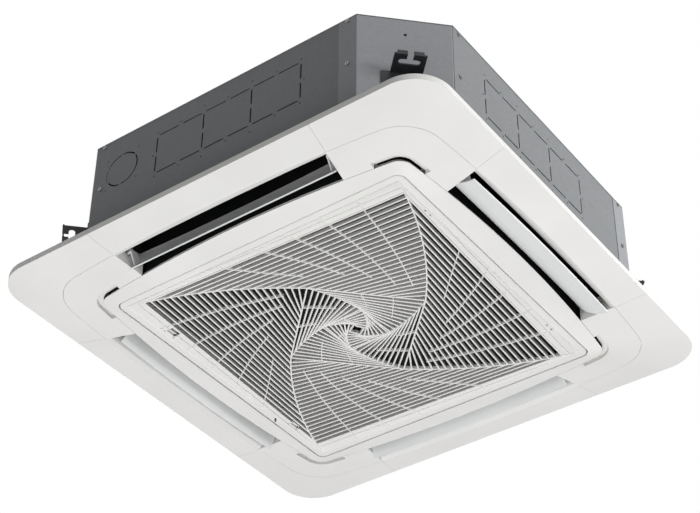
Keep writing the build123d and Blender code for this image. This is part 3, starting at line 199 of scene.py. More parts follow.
def carried(paths, profile, scale=None):
    """Tubes whose profile is carried along level paths.
    A profile point (u, z) lands at path + normal * u * scale, at height z; the normal is the
    path's direction turned a quarter to the left. Paths have the axes tube, station and plan
    coordinate, and the scale has the axes tube and station."""
    along = np.gradient(paths, axis=1)
    along /= np.linalg.norm(along, axis=-1, keepdims=True)
    normal = turned(along, QUARTER)
    scale = np.ones(paths.shape[:2]) if scale is None else scale
    sideways = normal[:, :, None, :] * (scale[..., None] * profile[:, 0])[..., None]
    plan = paths[:, :, None, :] + sideways
    height = np.broadcast_to(profile[:, 1], plan.shape[:3])
    return tubes(np.concatenate([plan, height[..., None]], axis=-1))


def joined(parts):
    """One array of corners and one list of faces from several."""
    corners, faces, first = [], [], 0
    for part_corners, part_faces in parts:
        corners.append(part_corners)
        faces += [[index + first for index in face] for face in part_faces]
        first += len(part_corners)
    return np.concatenate(corners), faces


def prism(outline, ends, axis=2):
    """Straight prism in millimetres: an outline repeated at both ends along an axis, where it
    gets the end's coordinate beside its own two."""
    outline = np.asarray(outline, dtype=float)
    rings = [np.insert(outline, axis, end, axis=1) for end in ends]
    return tubes(np.stack(rings)[None] * MM)


def brick(xs, middle, half, zs):
    """Box in millimetres between two x and two z, that reaches half a length either way along y
    from its middle: the rectangle of the four plan corners, repeated at both z."""
    near, far = middle - half, middle + half
    return prism([(xs[0], near), (xs[1], near), (xs[1], far), (xs[0], far)], zs)


def circle(points):
    """Unit circle: (cos, sin) of an angle that sweeps a full turn."""
    sweep = np.linspace(0, 2 * math.pi, points, endpoint=False)
    return np.column_stack([np.cos(sweep), np.sin(sweep)])


def rounded_square(half, radius):
    """Plan outline of a square with rounded corners: corner centre plus the radius times
    (cos, sin) of an angle that sweeps a quarter turn, for each of the four corners."""
    sweep = np.linspace(0, QUARTER, 8)
    corner = (half - radius) + radius * np.column_stack([np.cos(sweep), np.sin(sweep)])
    return four_ways(corner)


# ---------------------------------------------------------------- finishes
def add(tree, kind, settings=None, links=None, stops=None, **attributes):
    """Adds one shader node: attributes go on the node, settings on its inputs, links come from
    (node, output) pairs, and stops are the (position, colour) pairs of a ramp's two ends."""
    node = tree.nodes.new("ShaderNode" + kind)
    for key, value in attributes.items():
        setattr(node, key, value)
    if stops:
        for element, (position, value) in zip(node.color_ramp.elements, stops):
            element.position, element.color = position, (*value, 1)
    for key, value in (settings or {}).items():
        node.inputs[key].default_value = value
    for key, (source, output) in (links or {}).items():
        tree.links.new(source.outputs[output], node.inputs[key])
    return node


def cleared(owner):
    """Node tree of a material or a world, emptied."""
    owner.use_nodes = True
    owner.node_tree.nodes.clear()
    return owner.node_tree


def new_material(name):
    """Material with only its shader and output, and the link that lays a pattern out on the
    object in metres."""
    material = bpy.data.materials.new(name)
    tree = cleared(material)
    place = add(tree, "TexCoord")
    shader = add(tree, "BsdfPrincipled")
    add(tree, "OutputMaterial", links={"Surface": (shader, "BSDF")})
    return material, tree, {"Vector": (place, "Object")}, shader


def shade(tree, shader, tone, drift, base, spread):
    """Base colour that drifts between two tones of one colour with a pattern's value. The drift
    is the range of values, and the spread is how far the tones lie from the colour."""
    dark = tuple(c * (1 - spread) for c in base)
    light = tuple(min(1.0, c * (1 + spread)) for c in base)
    ramp = add(tree, "ValToRGB", stops=[(drift[0], dark), (drift[1], light)], links={"Fac": tone})
    tree.links.new(ramp.outputs["Color"], shader.inputs["Base Color"])


def rough_between(tree, shader, tone, low, high):
    """Roughness that follows a pattern's value between two limits."""
    spread = add(tree, "MapRange", {"To Min": low, "To Max": high}, {"Value": tone})
    tree.links.new(spread.outputs["Result"], shader.inputs["Roughness"])


def relief(tree, shader, height, depth, strength, edge=None):
    """Bump of some depth from a pattern's height, over edges eased by the radius that a mould or
    a press leaves."""
    links = {"Height": height}
    if edge:
        links["Normal"] = (add(tree, "Bevel", {"Radius": edge}, samples=4), "Normal")
    bump = add(tree, "Bump", {"Strength": strength, "Distance": depth}, links)
    tree.links.new(bump.outputs["Normal"], shader.inputs["Normal"])


def off_middle(tree, axes):
    """Links for a node with two inputs: the distances from the middle along x and along y."""
    return {key: (add(tree, "Math", links={0: (axes, axis)}, operation="ABSOLUTE"), 0)
            for key, axis in enumerate("XY")}


def moulded(name, base, roughness, grain=0.9, spread=0.02):
    """ABS or a like plastic, injection moulded in a spark-eroded tool: an even matt skin with a
    grain of about a millimetre, faint flow clouds and eased edges, so highlights stay broad.
    Paint sprayed on a pressed steel shell gives the eye the same skin with a coarser grain."""
    material, tree, at, shader = new_material(name)
    cloud = add(tree, "TexNoise", {"Scale": 1 / (140 * MM), "Detail": 4.0}, at)
    skin = add(tree, "TexNoise", {"Scale": 1 / (grain * MM), "Detail": 2.0}, at)
    shade(tree, shader, (cloud, "Fac"), (0.35, 0.65), base, spread)
    rough_between(tree, shader, (skin, "Fac"), roughness - 0.06, roughness + 0.06)
    relief(tree, shader, (skin, "Fac"), 0.06 * MM, 0.5, edge=0.6 * MM)
    return material


def painted_outlet_shade(name, base, foam, level, reach, rim):
    """The panel's ABS, whose walls above a level inside the outlets are painted matt near black as
    painted shade, standing for the dark deep in the outlets: the same white skin below, painted
    shade above, with a soft edge between. The corners stay white where they lie beyond a reach
    along the side and outside a rim. The painted shade has a grain 1.2 mm wide; the foam argument
    is its colour."""
    material = moulded(name, base, ABS_ROUGHNESS)
    tree = material.node_tree
    found = {node.type: node for node in tree.nodes}
    at = {"Vector": (found["TEX_COORD"], "Object")}
    axes = add(tree, "SeparateXYZ", links=at)
    shade_edge = 0.4 * MM
    above = add(tree, "MapRange", {"From Min": level, "From Max": level + shade_edge},
                {"Value": (axes, "Z")})
    sides = off_middle(tree, axes)
    aside = add(tree, "Math", links=sides, operation="MINIMUM")
    outward = add(tree, "Math", links=sides, operation="MAXIMUM")
    along = add(tree, "Math", {1: reach}, {0: (aside, 0)}, operation="GREATER_THAN")
    beyond = add(tree, "Math", {1: rim}, {0: (outward, 0)}, operation="GREATER_THAN")
    unshaded_corners = add(tree, "Math", links={0: (along, 0), 1: (beyond, 0)}, operation="MULTIPLY")
    painted_shade_mask = add(tree, "Math", links={0: (above, "Result"), 1: (unshaded_corners, 0)}, operation="SUBTRACT",
                use_clamp=True)
    shade_grain = add(tree, "TexNoise", {"Scale": 1 / (1.2 * MM), "Detail": 3.0}, at)
    # painted shade: a matt near-black shader in the foam colour that stands for the dark deep in
    # the outlets
    painted_shade = add(tree, "BsdfPrincipled", {"Specular IOR Level": 0.1})
    shade(tree, painted_shade, (shade_grain, "Fac"), (0.35, 0.65), foam, 0.3)
    rough_between(tree, painted_shade, (shade_grain, "Fac"), 0.85, 0.95)
    relief(tree, painted_shade, (shade_grain, "Fac"), 0.2 * MM, 0.6)
    both = add(tree, "MixShader", links={0: (painted_shade_mask, 0), 1: (found["BSDF_PRINCIPLED"], "BSDF"),
                                         2: (painted_shade, "BSDF")})
    tree.links.new(both.outputs["Shader"], found["OUTPUT_MATERIAL"].inputs["Surface"])
    return material


def galvanised(name, base):
    """Hot-dip galvanised steel sheet with minimised spangle, chromate passivated: a dull satin
    grey in which each zinc crystal, 5 mm wide, differs only a shade in tone and gloss, with faint
    level rolling streaks, about 110 mm long and 4 mm high. The passivated skin looks like grey
    paint more than like bare metal, so it is only slightly metallic."""
    material, tree, at, shader = new_material(name)
    spangle = add(tree, "TexVoronoi", {"Scale": 1 / (5 * MM), "Randomness": 1.0}, at)
    cell = add(tree, "SeparateColor", links={"Color": (spangle, "Color")})
    stretch = add(tree, "Mapping", {"Scale": (9.0, 9.0, 260.0)}, at)
    streak = add(tree, "TexNoise", {"Scale": 1.0, "Detail": 3.0}, {"Vector": (stretch, "Vector")})
    blend = add(tree, "Mix", {0: 0.5}, {2: (cell, "Red"), 3: (streak, "Fac")}, data_type="FLOAT")
    shade(tree, shader, (blend, 0), (0.2, 0.8), base, 0.035)
    rough_between(tree, shader, (cell, "Green"), 0.5, 0.6)
    relief(tree, shader, (blend, 0), 0.02 * MM, 0.25, edge=0.5 * MM)
    shader.inputs["Metallic"].default_value = 0.06
    shader.inputs["Specular IOR Level"].default_value = 0.25
    return material


def painted_shade_plate(name, base):
    """Stamped steel plate coloured near black and satin as painted shade, for the shade under the
    brackets' down-facing plates, with a slight orange peel and greyer patches of 22 mm."""
    material, tree, at, shader = new_material(name)
    bloom = add(tree, "TexNoise", {"Scale": 1 / (22 * MM), "Detail": 5.0}, at)
    peel = add(tree, "TexNoise", {"Scale": 1 / (1.5 * MM), "Detail": 1.0}, at)
    shade(tree, shader, (bloom, "Fac"), (0.35, 0.7), base, 0.3)
    rough_between(tree, shader, (peel, "Fac"), 0.42, 0.58)
    relief(tree, shader, (peel, "Fac"), 0.04 * MM, 0.35, edge=0.5 * MM)
    return material


def plated(name, base):
    """Zinc plating on turned or pressed steel: clear metal gloss broken by fine machining."""
    material, tree, at, shader = new_material(name)
    turning = add(tree, "TexNoise", {"Scale": 1 / (0.8 * MM), "Detail": 3.0}, at)
    shade(tree, shader, (turning, "Fac"), (0.3, 0.7), base, 0.08)
    rough_between(tree, shader, (turning, "Fac"), 0.26, 0.42)
    relief(tree, shader, (turning, "Fac"), 0.03 * MM, 0.4)
    shader.inputs["Metallic"].default_value = 1.0
    return material


def beaded_foam(name, base):
    """Expanded polystyrene, steam moulded and dyed: beads of about 4 mm pressed flat against
    each other, so the surface is matt with a net of small grooves."""
    material, tree, at, shader = new_material(name)
    bead = add(tree, "TexVoronoi", {"Scale": 1 / (4 * MM)}, at)
    shade(tree, shader, (bead, "Distance"), (0.1, 0.8), base, 0.25)
    rough_between(tree, shader, (bead, "Distance"), 0.95, 0.8)
    relief(tree, shader, (bead, "Distance"), -0.4 * MM, 0.7)
    shader.inputs["Specular IOR Level"].default_value = 0.2
    return material


def rubber(name, base):
    """Moulded EPDM rubber: near black, soft sheen, with a fine chalky bloom."""
    material, tree, at, shader = new_material(name)
    bloom = add(tree, "TexNoise", {"Scale": 1 / (6 * MM), "Detail": 5.0}, at)
    shade(tree, shader, (bloom, "Fac"), (0.35, 0.7), base, 0.3)
    rough_between(tree, shader, (bloom, "Fac"), 0.62, 0.8)
    relief(tree, shader, (bloom, "Fac"), 0.05 * MM, 0.4)
    return material


def finned(name, base):
    """Bare aluminium fins stamped and stacked, drawn as stripes across the run of the coil, which
    goes along y on the sides farther out in x than in y, and else along x: painted highlight on
    the fin edges and painted shade in the gaps between them.
    The real pitch is 1.4 mm; it is drawn at 2.8 mm so that the fins show at all."""
    material, tree, at, shader = new_material(name)
    axes = add(tree, "SeparateXYZ", links=at)
    side = add(tree, "Math", links=off_middle(tree, axes), operation="GREATER_THAN")
    run = add(tree, "Mix", links={0: (side, 0), 2: (axes, "X"), 3: (axes, "Y")},
              data_type="FLOAT")
    wave = add(tree, "Math", {1: 2 * math.pi / (2.8 * MM)}, {0: (run, 0)}, operation="MULTIPLY")
    fin = add(tree, "Math", links={0: (wave, 0)}, operation="SINE")
    lift = add(tree, "MapRange", {"From Min": -1.0, "From Max": 1.0}, {"Value": (fin, 0)})
    # painted highlight on the fin edges and painted shade in the gaps between fins
    shade(tree, shader, (lift, "Result"), (0.2, 0.8), base, 0.45)
    rough_between(tree, shader, (lift, "Result"), 0.5, 0.3)
    relief(tree, shader, (lift, "Result"), 0.8 * MM, 0.8)
    shader.inputs["Metallic"].default_value = 1.0
    return material


def drawn_copper(name, base):
    """Drawn copper tube and hot-pressed brass nuts: warm metal with a thin brown tarnish."""
    material, tree, at, shader = new_material(name)
    tarnish = add(tree, "TexNoise", {"Scale": 1 / (18 * MM), "Detail": 6.0}, at)
    shade(tree, shader, (tarnish, "Fac"), (0.35, 0.65), base, 0.16)
    rough_between(tree, shader, (tarnish, "Fac"), 0.24, 0.46)
    relief(tree, shader, (tarnish, "Fac"), 0.05 * MM, 0.3)
    shader.inputs["Metallic"].default_value = 1.0
    return material


def woven_mesh(name, base):
    """Polypropylene filter mesh: crossed threads 1.6 mm apart, drawn at 3 mm so that they show."""
    material, tree, at, shader = new_material(name)
    # A wave texture's bands are about 312 mm apart at scale 1.
    bands = {"Scale": 312.5 / 3}
    threads = {key: (add(tree, "TexWave", bands, at, bands_direction=axis), "Fac")
               for key, axis in enumerate("XY")}
    weave = add(tree, "Math", links=threads, operation="MAXIMUM")
    shade(tree, shader, (weave, 0), (0.2, 0.9), base, 0.5)
    rough_between(tree, shader, (weave, 0), 0.85, 0.55)
    relief(tree, shader, (weave, 0), 0.5 * MM, 0.9)
    return material


def circuit_board(name, base):
    """Glass-fibre board under green solder mask: squared patches where copper lies underneath."""
    material, tree, at, shader = new_material(name)
    # A brick texture's bricks are 0.5 by 0.25 m at scale 1, so the patches are 8.3 by 4.2 mm.
    tones = {key: (grey, grey, grey, 1)
             for key, grey in (("Color1", 0.4), ("Color2", 0.7), ("Mortar", 0.1))}
    tracks = add(tree, "TexBrick", {"Scale": 60.0, "Mortar Size": 0.04, **tones}, at)
    shade(tree, shader, (tracks, "Color"), (0.1, 0.7), base, 0.35)
    rough_between(tree, shader, (tracks, "Fac"), 0.3, 0.42)
    relief(tree, shader, (tracks, "Fac"), -0.05 * MM, 0.5)
    return material


def finishes():
    """One material for each of the record's slots, made once."""
    if "moulded_abs_panel" not in bpy.data.materials:
        c = bpy.context.scene.cassette_colours
        made = {
            "panel_white": moulded("moulded_abs_panel", c.panel, ABS_ROUGHNESS),
            "louvre_white": moulded("moulded_abs_louvre", c.louvre, 0.4),
            "sheet_steel": galvanised("galvanised_cabinet_sheet", c.cabinet),
            "bracket_steel": painted_shade_plate("blackened_bracket_plate", c.bracket_shade),
            "fastener_steel": plated("zinc_plated_steel", c.fastener),
            "foam": beaded_foam("steam_moulded_foam", c.foam),
            "rubber": rubber("moulded_epdm_rubber", c.foam),
            "fin_aluminium": finned("stacked_aluminium_fins", c.aluminium),
            "copper": drawn_copper("drawn_copper_tube", c.copper),
            "fan_plastic": moulded("moulded_fan_plastic", c.black_plastic, 0.55, spread=0.12),
            "motor_steel": moulded("painted_motor_shell", c.black_plastic, 0.38, grain=1.4,
                                   spread=0.15),
            "grey_plastic": moulded("moulded_grey_plastic", c.grey_plastic, 0.5, spread=0.04),
            "board": circuit_board("solder_masked_board", c.board),
            "filter_black": woven_mesh("woven_filter_mesh", c.mesh),
        }
        for slot, material in made.items():
            material["slot"] = slot
    return {material["slot"]: material for material in bpy.data.materials if "slot" in material}


def coat(node, material):
    """Gives a CAD node one material in place of what it has."""
    node.data.materials.clear()
    node.data.materials.append(material)


def finish_nodes(slots):
    """Gives each CAD node of the named slots its finish."""
    made = finishes()
    for name, node in frame["nodes"].items():
        if SLOT_OF[name] in slots:
            coat(node, made[SLOT_OF[name]])


# ---------------------------------------------------------------- whirl grille
# For each level of the whirl: its number of slats; the step between the slats' starts as a share
# of the level's half side; the place of the first slat's end on the next rib, and the step
# between ends.
SLAT_ROWS = ((24, 0.03757, 0.0595, 0.039), (11, 0.0523, 0, 0.096), (5, 0.0904, 0, 0.2),
             (2, 0.226, 0, 0.5))
# Cross ribs of the left side: start, middle and end in millimetres.
CROSS_RIBS = (((-299, 101), (-243, 46), (-184, -15)), ((-299, 15), (-222, -37), (-146, -78)),
              ((-299, -58), (-205, -91.5), (-110, -112.5)),
              ((-299, -133), (-184, -143), (-68, -135.5)),
              ((-299, -212), (-165, -191), (-48, -159)), ((-88, -70), (-70, -65), (-49, -57)),
              ((-43, -112), (-18, -94), (7, -74)), ((0, -41), (3.5, -31), (4, -20)))
# In millimetres: the y of the two latches on the left side and of the two hinges on the right,
# and half the length of a latch's window.
LATCHES_Y, HINGES_Y, WINDOW_HALF = (-189, 189), (-200, 200), 11.6


def level_half(level, sizes):
    """Half side of a level's square: the second level's is given, and each later one is the one
    before divided by the ratio."""
    return sizes.whirl_half if level == 0 else sizes.inner_half / sizes.ratio ** (level - 1)


def whirl(level, share, sizes):
    """Points of the left whirl rib of a level, before the level is turned by its eighths. The rib
    is the straight line from the corner of the level's square to the corner of the next square,
    pushed outwards by the parabola 4 bulge share (1 - share)."""
    half, inner = level_half(level, sizes), level_half(level + 1, sizes)
    start = np.array([-half, half])
    along = np.array([-inner * math.sqrt(2), 0]) - start
    outwards = np.array([along[1], -along[0]]) / np.linalg.norm(along)
    bulge = 4 * sizes.rib_bulge * half / sizes.whirl_half * share * (1 - share)
    return start + share[..., None] * along + outwards * bulge[..., None]


def slat_row(level, sizes):
    """Straight slats of one level's left side, with the axes slat, end and coordinate. Starts are
    evenly spaced across, on the level's rib and then on the first slat of the next level, and
    ends are evenly spaced along the rib a quarter turn on."""
    count, across, first, step = SLAT_ROWS[level]
    half, inner = level_half(level, sizes), level_half(level + 1, sizes)
    order = np.arange(count)
    edge = np.vstack([whirl(level, np.linspace(0, 1, 65), sizes), [(0, -inner * math.sqrt(2))]])
    x = -half * (1 - across * order)
    start = np.column_stack([x, np.interp(x, edge[:, 0], edge[:, 1])])
    end = turned(whirl(level, first + step * order, sizes), QUARTER)
    return turned(np.stack([start, end], axis=1), QUARTER / 2 * level)


def slat_paths(sizes):
    """All slats. On the left side the first slat stops at the front latch's window and the second
    at the rear latch's, each at the places along it where its y is that of the window's ends."""
    outer = slat_row(0, sizes)
    spans = []
    for (first, last), middle in zip(outer[:2], LATCHES_Y):
        window = np.array([middle + WINDOW_HALF, middle - WINDOW_HALF]) * MM
        places = (window - first[1]) / (last[1] - first[1])
        stops = np.concatenate([[0], places, [1]]).reshape(-1, 2)
        spans.append(first + stops[..., None] * (last - first))
    # The other three sides have the same two slats unbroken.
    unbroken = four_ways(outer[:2])[2:]
    inner = [slat_row(level, sizes) for level in range(1, len(SLAT_ROWS))]
    return np.concatenate([*spans, unbroken, four_ways(np.concatenate([outer[2:], *inner]))])


def lower_edge(half, crown, low, points):
    """Rounded foot of a section: half an ellipse as wide as twice a half width and as deep as its
    crown, standing on a lowest height."""
    sweep = np.linspace(math.pi, 2 * math.pi, points)
    return np.column_stack([half * np.cos(sweep), low + crown + crown * np.sin(sweep)])


def slat_profile(sizes):
    """Slat section, lip down: a half ellipse as wide as the lip, whose sides run up by way of a
    slightly narrower neck to a thinner back edge that leans outwards. u is measured towards the
    grille's middle."""
    low, half = -sizes.lip_drop, sizes.lip_width / 2
    neck, neck_height, neck_share = half - 0.35 * MM, low + 2.4 * MM, 0.18
    lean, back, top = -sizes.slat_lean, sizes.slat_back / 2, low + sizes.slat_height
    body = [(lean * neck_share + neck, neck_height), (lean + back, top), (lean - back, top),
            (lean * neck_share - neck, neck_height)]
    return np.concatenate([lower_edge(half, 0.9 * MM, low, 9), body])


def rib_profile(half, sizes, depth):
    """Upright rib section with a rounded lower edge: a half ellipse under two straight sides that
    lean in to a top a fifth narrower."""
    low = -sizes.lip_drop
    edge = lower_edge(half, min(half, 0.8 * MM), low, 7)
    return np.concatenate([edge, [(half * 0.8, low + depth), (-half * 0.8, low + depth)]])


def cross_rib_paths():
    """Cross ribs over the slats: each is the parabola through its start, middle and end, which is
    the sum of the three points weighted by (1 - t)(1 - 2t), 4t(1 - t) and t(2t - 1)."""
    t = np.linspace(0, 1, 24)[:, None, None]
    start, middle, end = np.array(CROSS_RIBS).transpose(1, 0, 2) * MM
    paths = start * (1 - t) * (1 - 2 * t) + middle * 4 * t * (1 - t) + end * t * (2 * t - 1)
    return four_ways(paths.transpose(1, 0, 2))


def border_rings(sizes):
    """Rings of the border's section, each as (half side, corner radius, turn, height): inner
    wall, sunk band, bead, flat, rounded outer edge and outer wall, back to the inner wall. The
    band's inner edge follows the outermost open slats, a square turned by the slats' slant."""
    face, band = -sizes.face_drop, sizes.band_depth - sizes.face_drop
    outer, crease = sizes.border_half, sizes.whirl_half
    inner, slant = sizes.band_half, sizes.band_slant
    edge, inner_wall = 2.5 * MM, 1.6 * MM  # the outer edge's radius is the outer wall's thickness
    inner_top, outer_top, back = face + 11 * MM, face + 18 * MM, band + 2 * MM
    bead_start, bead_end = crease - 5 * MM, crease - 0.15 * MM
    least_radius = 1.5 * MM
    sweep = np.linspace(math.pi * 1.5, math.pi * 2, 6)
    rings = [(inner, slant, inner_top), (inner, slant, band), (bead_start, 0, band),
             (bead_end, 0, face - sizes.bead_drop), (crease, 0, face)]
    rings += [(outer - edge + edge * math.cos(a), 0, face + edge + edge * math.sin(a))
              for a in sweep]
    rings += [(outer, 0, outer_top), (outer - edge, 0, outer_top), (outer - edge, 0, back),
              (inner + inner_wall, slant, back), (inner + inner_wall, slant, inner_top)]
    return [(half, max(least_radius, sizes.border_radius - (outer - half)), turn, height)
            for half, turn, height in rings]


def border_cutters():
    """Solids to cut from the border."""
    parts = []
    for y in LATCHES_Y:
        parts.append(brick((-290, -276), y, WINDOW_HALF, (-39.5, -22)))  # the latch's window
        parts.append(brick((-314.6, -309.4), y, 12, (-34, -10)))  # its slot in the outer wall
    for y in HINGES_Y:
        parts.append(brick((287, 315), y, 10, (-34, -10)))  # the hinge hook's notch
    # A slanted slot with round ends, 16 by 4 mm: two half circles set 6 mm off its middle.
    offset, radius, middle = 6, 2, (-305, 149)
    cos, sin = circle(24).T
    pill = np.column_stack([offset * np.sign(cos) + radius * cos, radius * sin])
    parts.append(prism(turned(pill, math.radians(-50)) + middle, (-40, -30)))
    return joined(parts)


def hinge_details():
    """Hinge pins between their ribs on the right side, and the rails the latches slide between."""
    parts = []
    for y in HINGES_Y:
        parts.append(prism(2.5 * circle(20) + (296, -28.5), (y - 9, y + 9), axis=1))  # the pin
        for side in (-7.5, 7.5):
            parts.append(brick((291.5, 300.5), y + side, 1.5, (-36, -25)))  # a rib that holds it
    for y in LATCHES_Y:
        for side in (-12.4, 12.4):
            parts.append(brick((-311.4, -292), y + side, 1, (-36, -27)))  # a rail
    return joined(parts)


class CassetteGrilleBorder(bpy.types.Operator):
    """Border of the intake grille with its bead, outer wall, latch windows and hinge pins"""
    bl_idname = "cassette.grille_border"
    bl_label = "Grille border"

    def execute(self, context):
        sizes = context.scene.cassette_grille
        rings = [np.insert(turned(rounded_square(half, radius), turn), 2, height, axis=1)
                 for half, radius, turn, height in border_rings(sizes)]
        border = grille_piece("grille_border", *tubes(np.stack(rings, axis=1)[None], capped=False))
        cutter = linked("border_cutter", meshed("border_cutter", *border_cutters()))
        bore = border.modifiers.new("openings", "BOOLEAN")
        bore.object, bore.operation, bore.solver = cutter, "DIFFERENCE", "EXACT"
        bored = border.evaluated_get(context.evaluated_depsgraph_get())
        border.data = bpy.data.meshes.new_from_object(bored)
        border.modifiers.clear()
        border.data.set_sharp_from_angle(angle=SHARP)
        bpy.data.objects.remove(cutter)
        grille_piece("grille_hinge_pins", *hinge_details())
        return {"FINISHED"}


class CassetteWhirl(bpy.types.Operator):
    """Slats and ribs of the whirl: leaning slats, the four whirl ribs and the cross ribs"""
    bl_idname = "cassette.whirl"
    bl_label = "Whirl slats"

    def execute(self, context):
        sizes = context.scene.cassette_grille
        grille_piece("grille_slats", *carried(slat_paths(sizes), slat_profile(sizes)))
        levels, share = np.arange(len(SLAT_ROWS)), np.linspace(0, 1, 33)
        ribs = np.stack([turned(whirl(level, share, sizes), QUARTER / 2 * level)
                         for level in levels])
        # From level to level the whirl ribs are 1, 2/3, 1/2 and 2/5 of their width at the border.
        width = np.tile(1 / (1 + levels / 2), 4)[:, None] * np.ones(len(share))
        whirl_rib = rib_profile(sizes.rib_width / 2, sizes, sizes.slat_height)
        # The cross ribs are 1.7 mm wide and 1.3 mm less deep than the slats.
        cross_rib = rib_profile(0.85 * MM, sizes, sizes.slat_height - 1.3 * MM)
        grille_piece("grille_ribs", *joined([carried(four_ways(ribs), whirl_rib, width),
                                             carried(cross_rib_paths(), cross_rib)]))
        return {"FINISHED"}


class CassettePanel(bpy.types.Operator):
    """Finish of the moulded panel, its covers, surround, latches and louvres"""
    bl_idname = "cassette.panel"
    bl_label = "Panel and louvres"

    def execute(self, context):
        finish_nodes(("panel_white", "louvre_white"))
        c = context.scene.cassette_colours
        # the surround's outlet walls more than 21 mm above the ceiling plane's drop get painted
        # shade, matt near black
        shaded_surround = painted_outlet_shade("moulded_abs_surround", c.panel, c.foam,
                                level=-21 * MM, reach=250 * MM, rim=335 * MM)
        coat(frame["nodes"]["inner_surround"], shaded_surround)
        return {"FINISHED"}


class CassetteCabinet(bpy.types.Operator):
    """Finish of the sheet-metal cabinet, hanger brackets and fasteners"""
    bl_idname = "cassette.cabinet"
    bl_label = "Cabinet and brackets"

    def execute(self, context):
        finish_nodes(("sheet_steel", "bracket_steel", "fastener_steel"))
        # painted light: the galvanised finish in the paler corner colour, for the light that falls
        # on the chamfers
        plate = galvanised("galvanised_corner_plate", context.scene.cassette_colours.corner)
        for name, node in frame["nodes"].items():
            if name.startswith("corner_plate"):
                coat(node, plate)
        return {"FINISHED"}


class CassetteInside(bpy.types.Operator):
    """Finish of what lies inside: foam, coil, pipes, fan, motor, filter, pump and boxes"""
    bl_idname = "cassette.inside"
    bl_label = "Inside"

    def execute(self, context):
        finish_nodes(("foam", "rubber", "fin_aluminium", "copper", "fan_plastic", "motor_steel",
                      "grey_plastic", "board", "filter_black"))
        return {"FINISHED"}


# ---------------------------------------------------------------- studio
# Soft boxes: name, place and aim in metres, side in metres, and power in watts.
LAMPS = (("key_right", (4.2, -0.1, 0.1), (0, 0, 0.1), 1.8, 118),
         ("side_right", (1.5, 1.5, 0.2), (0.42, 0.3, 0.12), 0.8, 14),
         ("soft_below", (-0.1, -0.5, -3.2), (0, 0, 0), 6.0, 172),
         ("back_fill", (-2.8, 3.4, 2.2), (0, 0, 0.1), 2.0, 110))


def lamp(name, place, aim, size, power):
    """Square soft box at a place, aimed at a point, hidden from the camera and from gloss."""
    data = bpy.data.lights.new(name, "AREA")
    data.size, data.energy = size, power
    piece = linked(name, data)
    away = Vector(place) - Vector(aim)
    turn = away.to_track_quat("Z", "Y").to_matrix().to_4x4()
    piece.matrix_world = Matrix.Translation(place) @ turn
    piece.visible_camera = False
    piece.visible_glossy = False


def seen_directly(tree):
    """1 for camera, glossy and transmission rays, so that the background shows in them as pale."""
    path = add(tree, "LightPath")
    either = add(tree, "Math", links={0: (path, "Is Camera Ray"), 1: (path, "Is Glossy Ray")},
                 operation="MAXIMUM")
    return add(tree, "Math", links={0: (either, 0), 1: (path, "Is Transmission Ray")},
               operation="MAXIMUM")


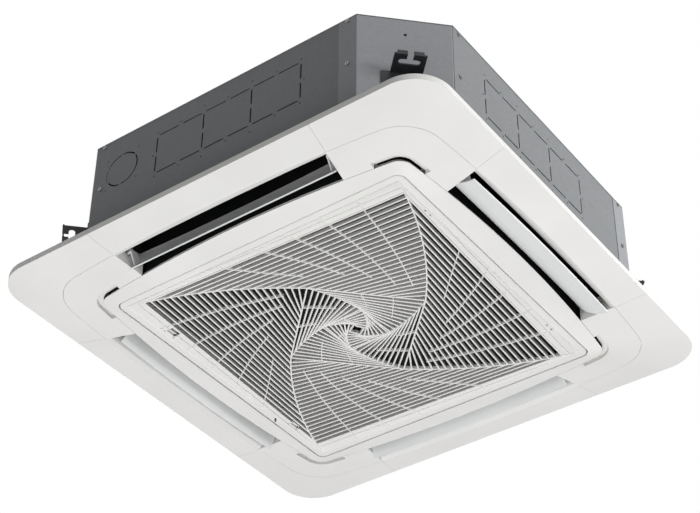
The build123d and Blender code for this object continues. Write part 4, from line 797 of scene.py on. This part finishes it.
class CassetteStage(bpy.types.Operator):
    """Camera at the photograph's angle, soft lamps, pale world and floor"""
    bl_idname = "cassette.stage"
    bl_label = "Studio"

    def execute(self, context):
        scene = context.scene
        scene.view_settings.view_transform = "Standard"
        self.camera(scene)
        for row in LAMPS:
            lamp(*row)
        self.world(scene)
        self.floor()
        return {"FINISHED"}

    def camera(self, scene):
        """Camera whose lens, place and three angles were fitted to the photograph. It looks ahead
        by azimuth and elevation, and its level right-hand side is rolled about that line."""
        data = bpy.data.cameras.new("camera")
        data.sensor_width, data.lens, data.clip_end = 36.0, 94.01, 100.0
        azimuth, elevation, roll = (math.radians(a) for a in (36.11, 38.88, 0.44))
        ahead = Vector((-math.sin(azimuth) * math.cos(elevation),
                        math.cos(azimuth) * math.cos(elevation), math.sin(elevation)))
        level = ahead.cross(Vector((0, 0, 1))).normalized()
        right = level * math.cos(roll) + level.cross(ahead) * math.sin(roll)
        turn = Matrix((right, right.cross(ahead), -ahead)).transposed().to_4x4()
        turn.translation = (1.59003, -2.2027, -2.05361)
        scene.camera = linked("camera", data)
        scene.camera.matrix_world = turn

    def world(self, scene):
        """Faint cool fill on the parts, and plain white where the background is seen."""
        scene.world = bpy.data.worlds.new("pale_studio")
        tree = cleared(scene.world)
        fill = add(tree, "Background", {"Color": (0.95, 0.97, 1.0, 1), "Strength": 0.1})
        shown = add(tree, "Background", {"Color": (1, 1, 1, 1), "Strength": 1.0})
        both = add(tree, "MixShader",
                   links={0: (seen_directly(tree), 0), 1: (fill, 0), 2: (shown, 0)})
        add(tree, "OutputWorld", links={"Surface": (both, 0)})

    def floor(self):
        """Matt painted floor far below, with scuffs a third of a metre wide. Where it is seen
        directly, four fifths of it is an even glow, so that it shows as pale as the background."""
        material = bpy.data.materials.new("matt_studio_floor")
        tree = cleared(material)
        place = add(tree, "TexCoord")
        scuff = add(tree, "TexNoise", {"Scale": 3.0, "Detail": 5.0},
                    {"Vector": (place, "Object")})
        tone = add(tree, "ValToRGB", stops=[(0.3, linear("#EDEDEC")), (0.7, linear("#F4F4F3"))],
                   links={"Fac": (scuff, "Fac")})
        matt = add(tree, "BsdfDiffuse", links={"Color": (tone, "Color")})
        glow = add(tree, "Emission", {"Strength": 1.0})
        share = add(tree, "Math", {1: 0.8}, {0: (seen_directly(tree), 0)}, operation="MULTIPLY")
        both = add(tree, "MixShader", links={0: (share, 0), 1: (matt, 0), 2: (glow, 0)})
        add(tree, "OutputMaterial", links={"Surface": (both, 0)})
        reach, drop = 30.0, -6.4
        corners = reach * np.array([(-1, -1, 0), (1, -1, 0), (1, 1, 0), (-1, 1, 0)])
        mesh = meshed("studio_floor", corners + (0, 0, drop), [(0, 1, 2, 3)])
        mesh.materials.append(material)
        floor = linked("studio_floor", mesh)


# ---------------------------------------------------------------- add-on
OPERATORS = (CassetteStage, CassettePanel, CassetteCabinet, CassetteInside, CassetteGrilleBorder,
             CassetteWhirl)


class CassetteSidebar(bpy.types.Panel):
    """Lists the operators in the order in which they run, and the sizes and colours"""
    bl_idname = "VIEW3D_PT_cassette"
    bl_label = "Ceiling Cassette"
    bl_space_type = "VIEW_3D"
    bl_region_type = "UI"
    bl_category = "Cassette"

    def draw(self, context):
        for operator in OPERATORS:
            self.layout.operator(operator.bl_idname)
        for group in (context.scene.cassette_grille, context.scene.cassette_colours):
            box = self.layout.box()
            for name in group.bl_rna.properties.keys():
                if name not in ("rna_type", "name"):
                    box.prop(group, name)


CLASSES = (CassetteGrille, CassetteColours, *OPERATORS, CassetteSidebar)


def register():
    """Registers the classes and hangs the property groups on the scene."""
    for each in CLASSES:
        bpy.utils.register_class(each)
    bpy.types.Scene.cassette_grille = bpy.props.PointerProperty(type=CassetteGrille)
    bpy.types.Scene.cassette_colours = bpy.props.PointerProperty(type=CassetteColours)


def unregister():
    """Takes the property groups off the scene and the classes away again."""
    del bpy.types.Scene.cassette_colours
    del bpy.types.Scene.cassette_grille
    for each in reversed(CLASSES):
        bpy.utils.unregister_class(each)


def main():
    register()
    for operator in OPERATORS:
        group, name = operator.bl_idname.split(".")
        getattr(getattr(bpy.ops, group), name)()


if __name__ == "__main__":
    main()
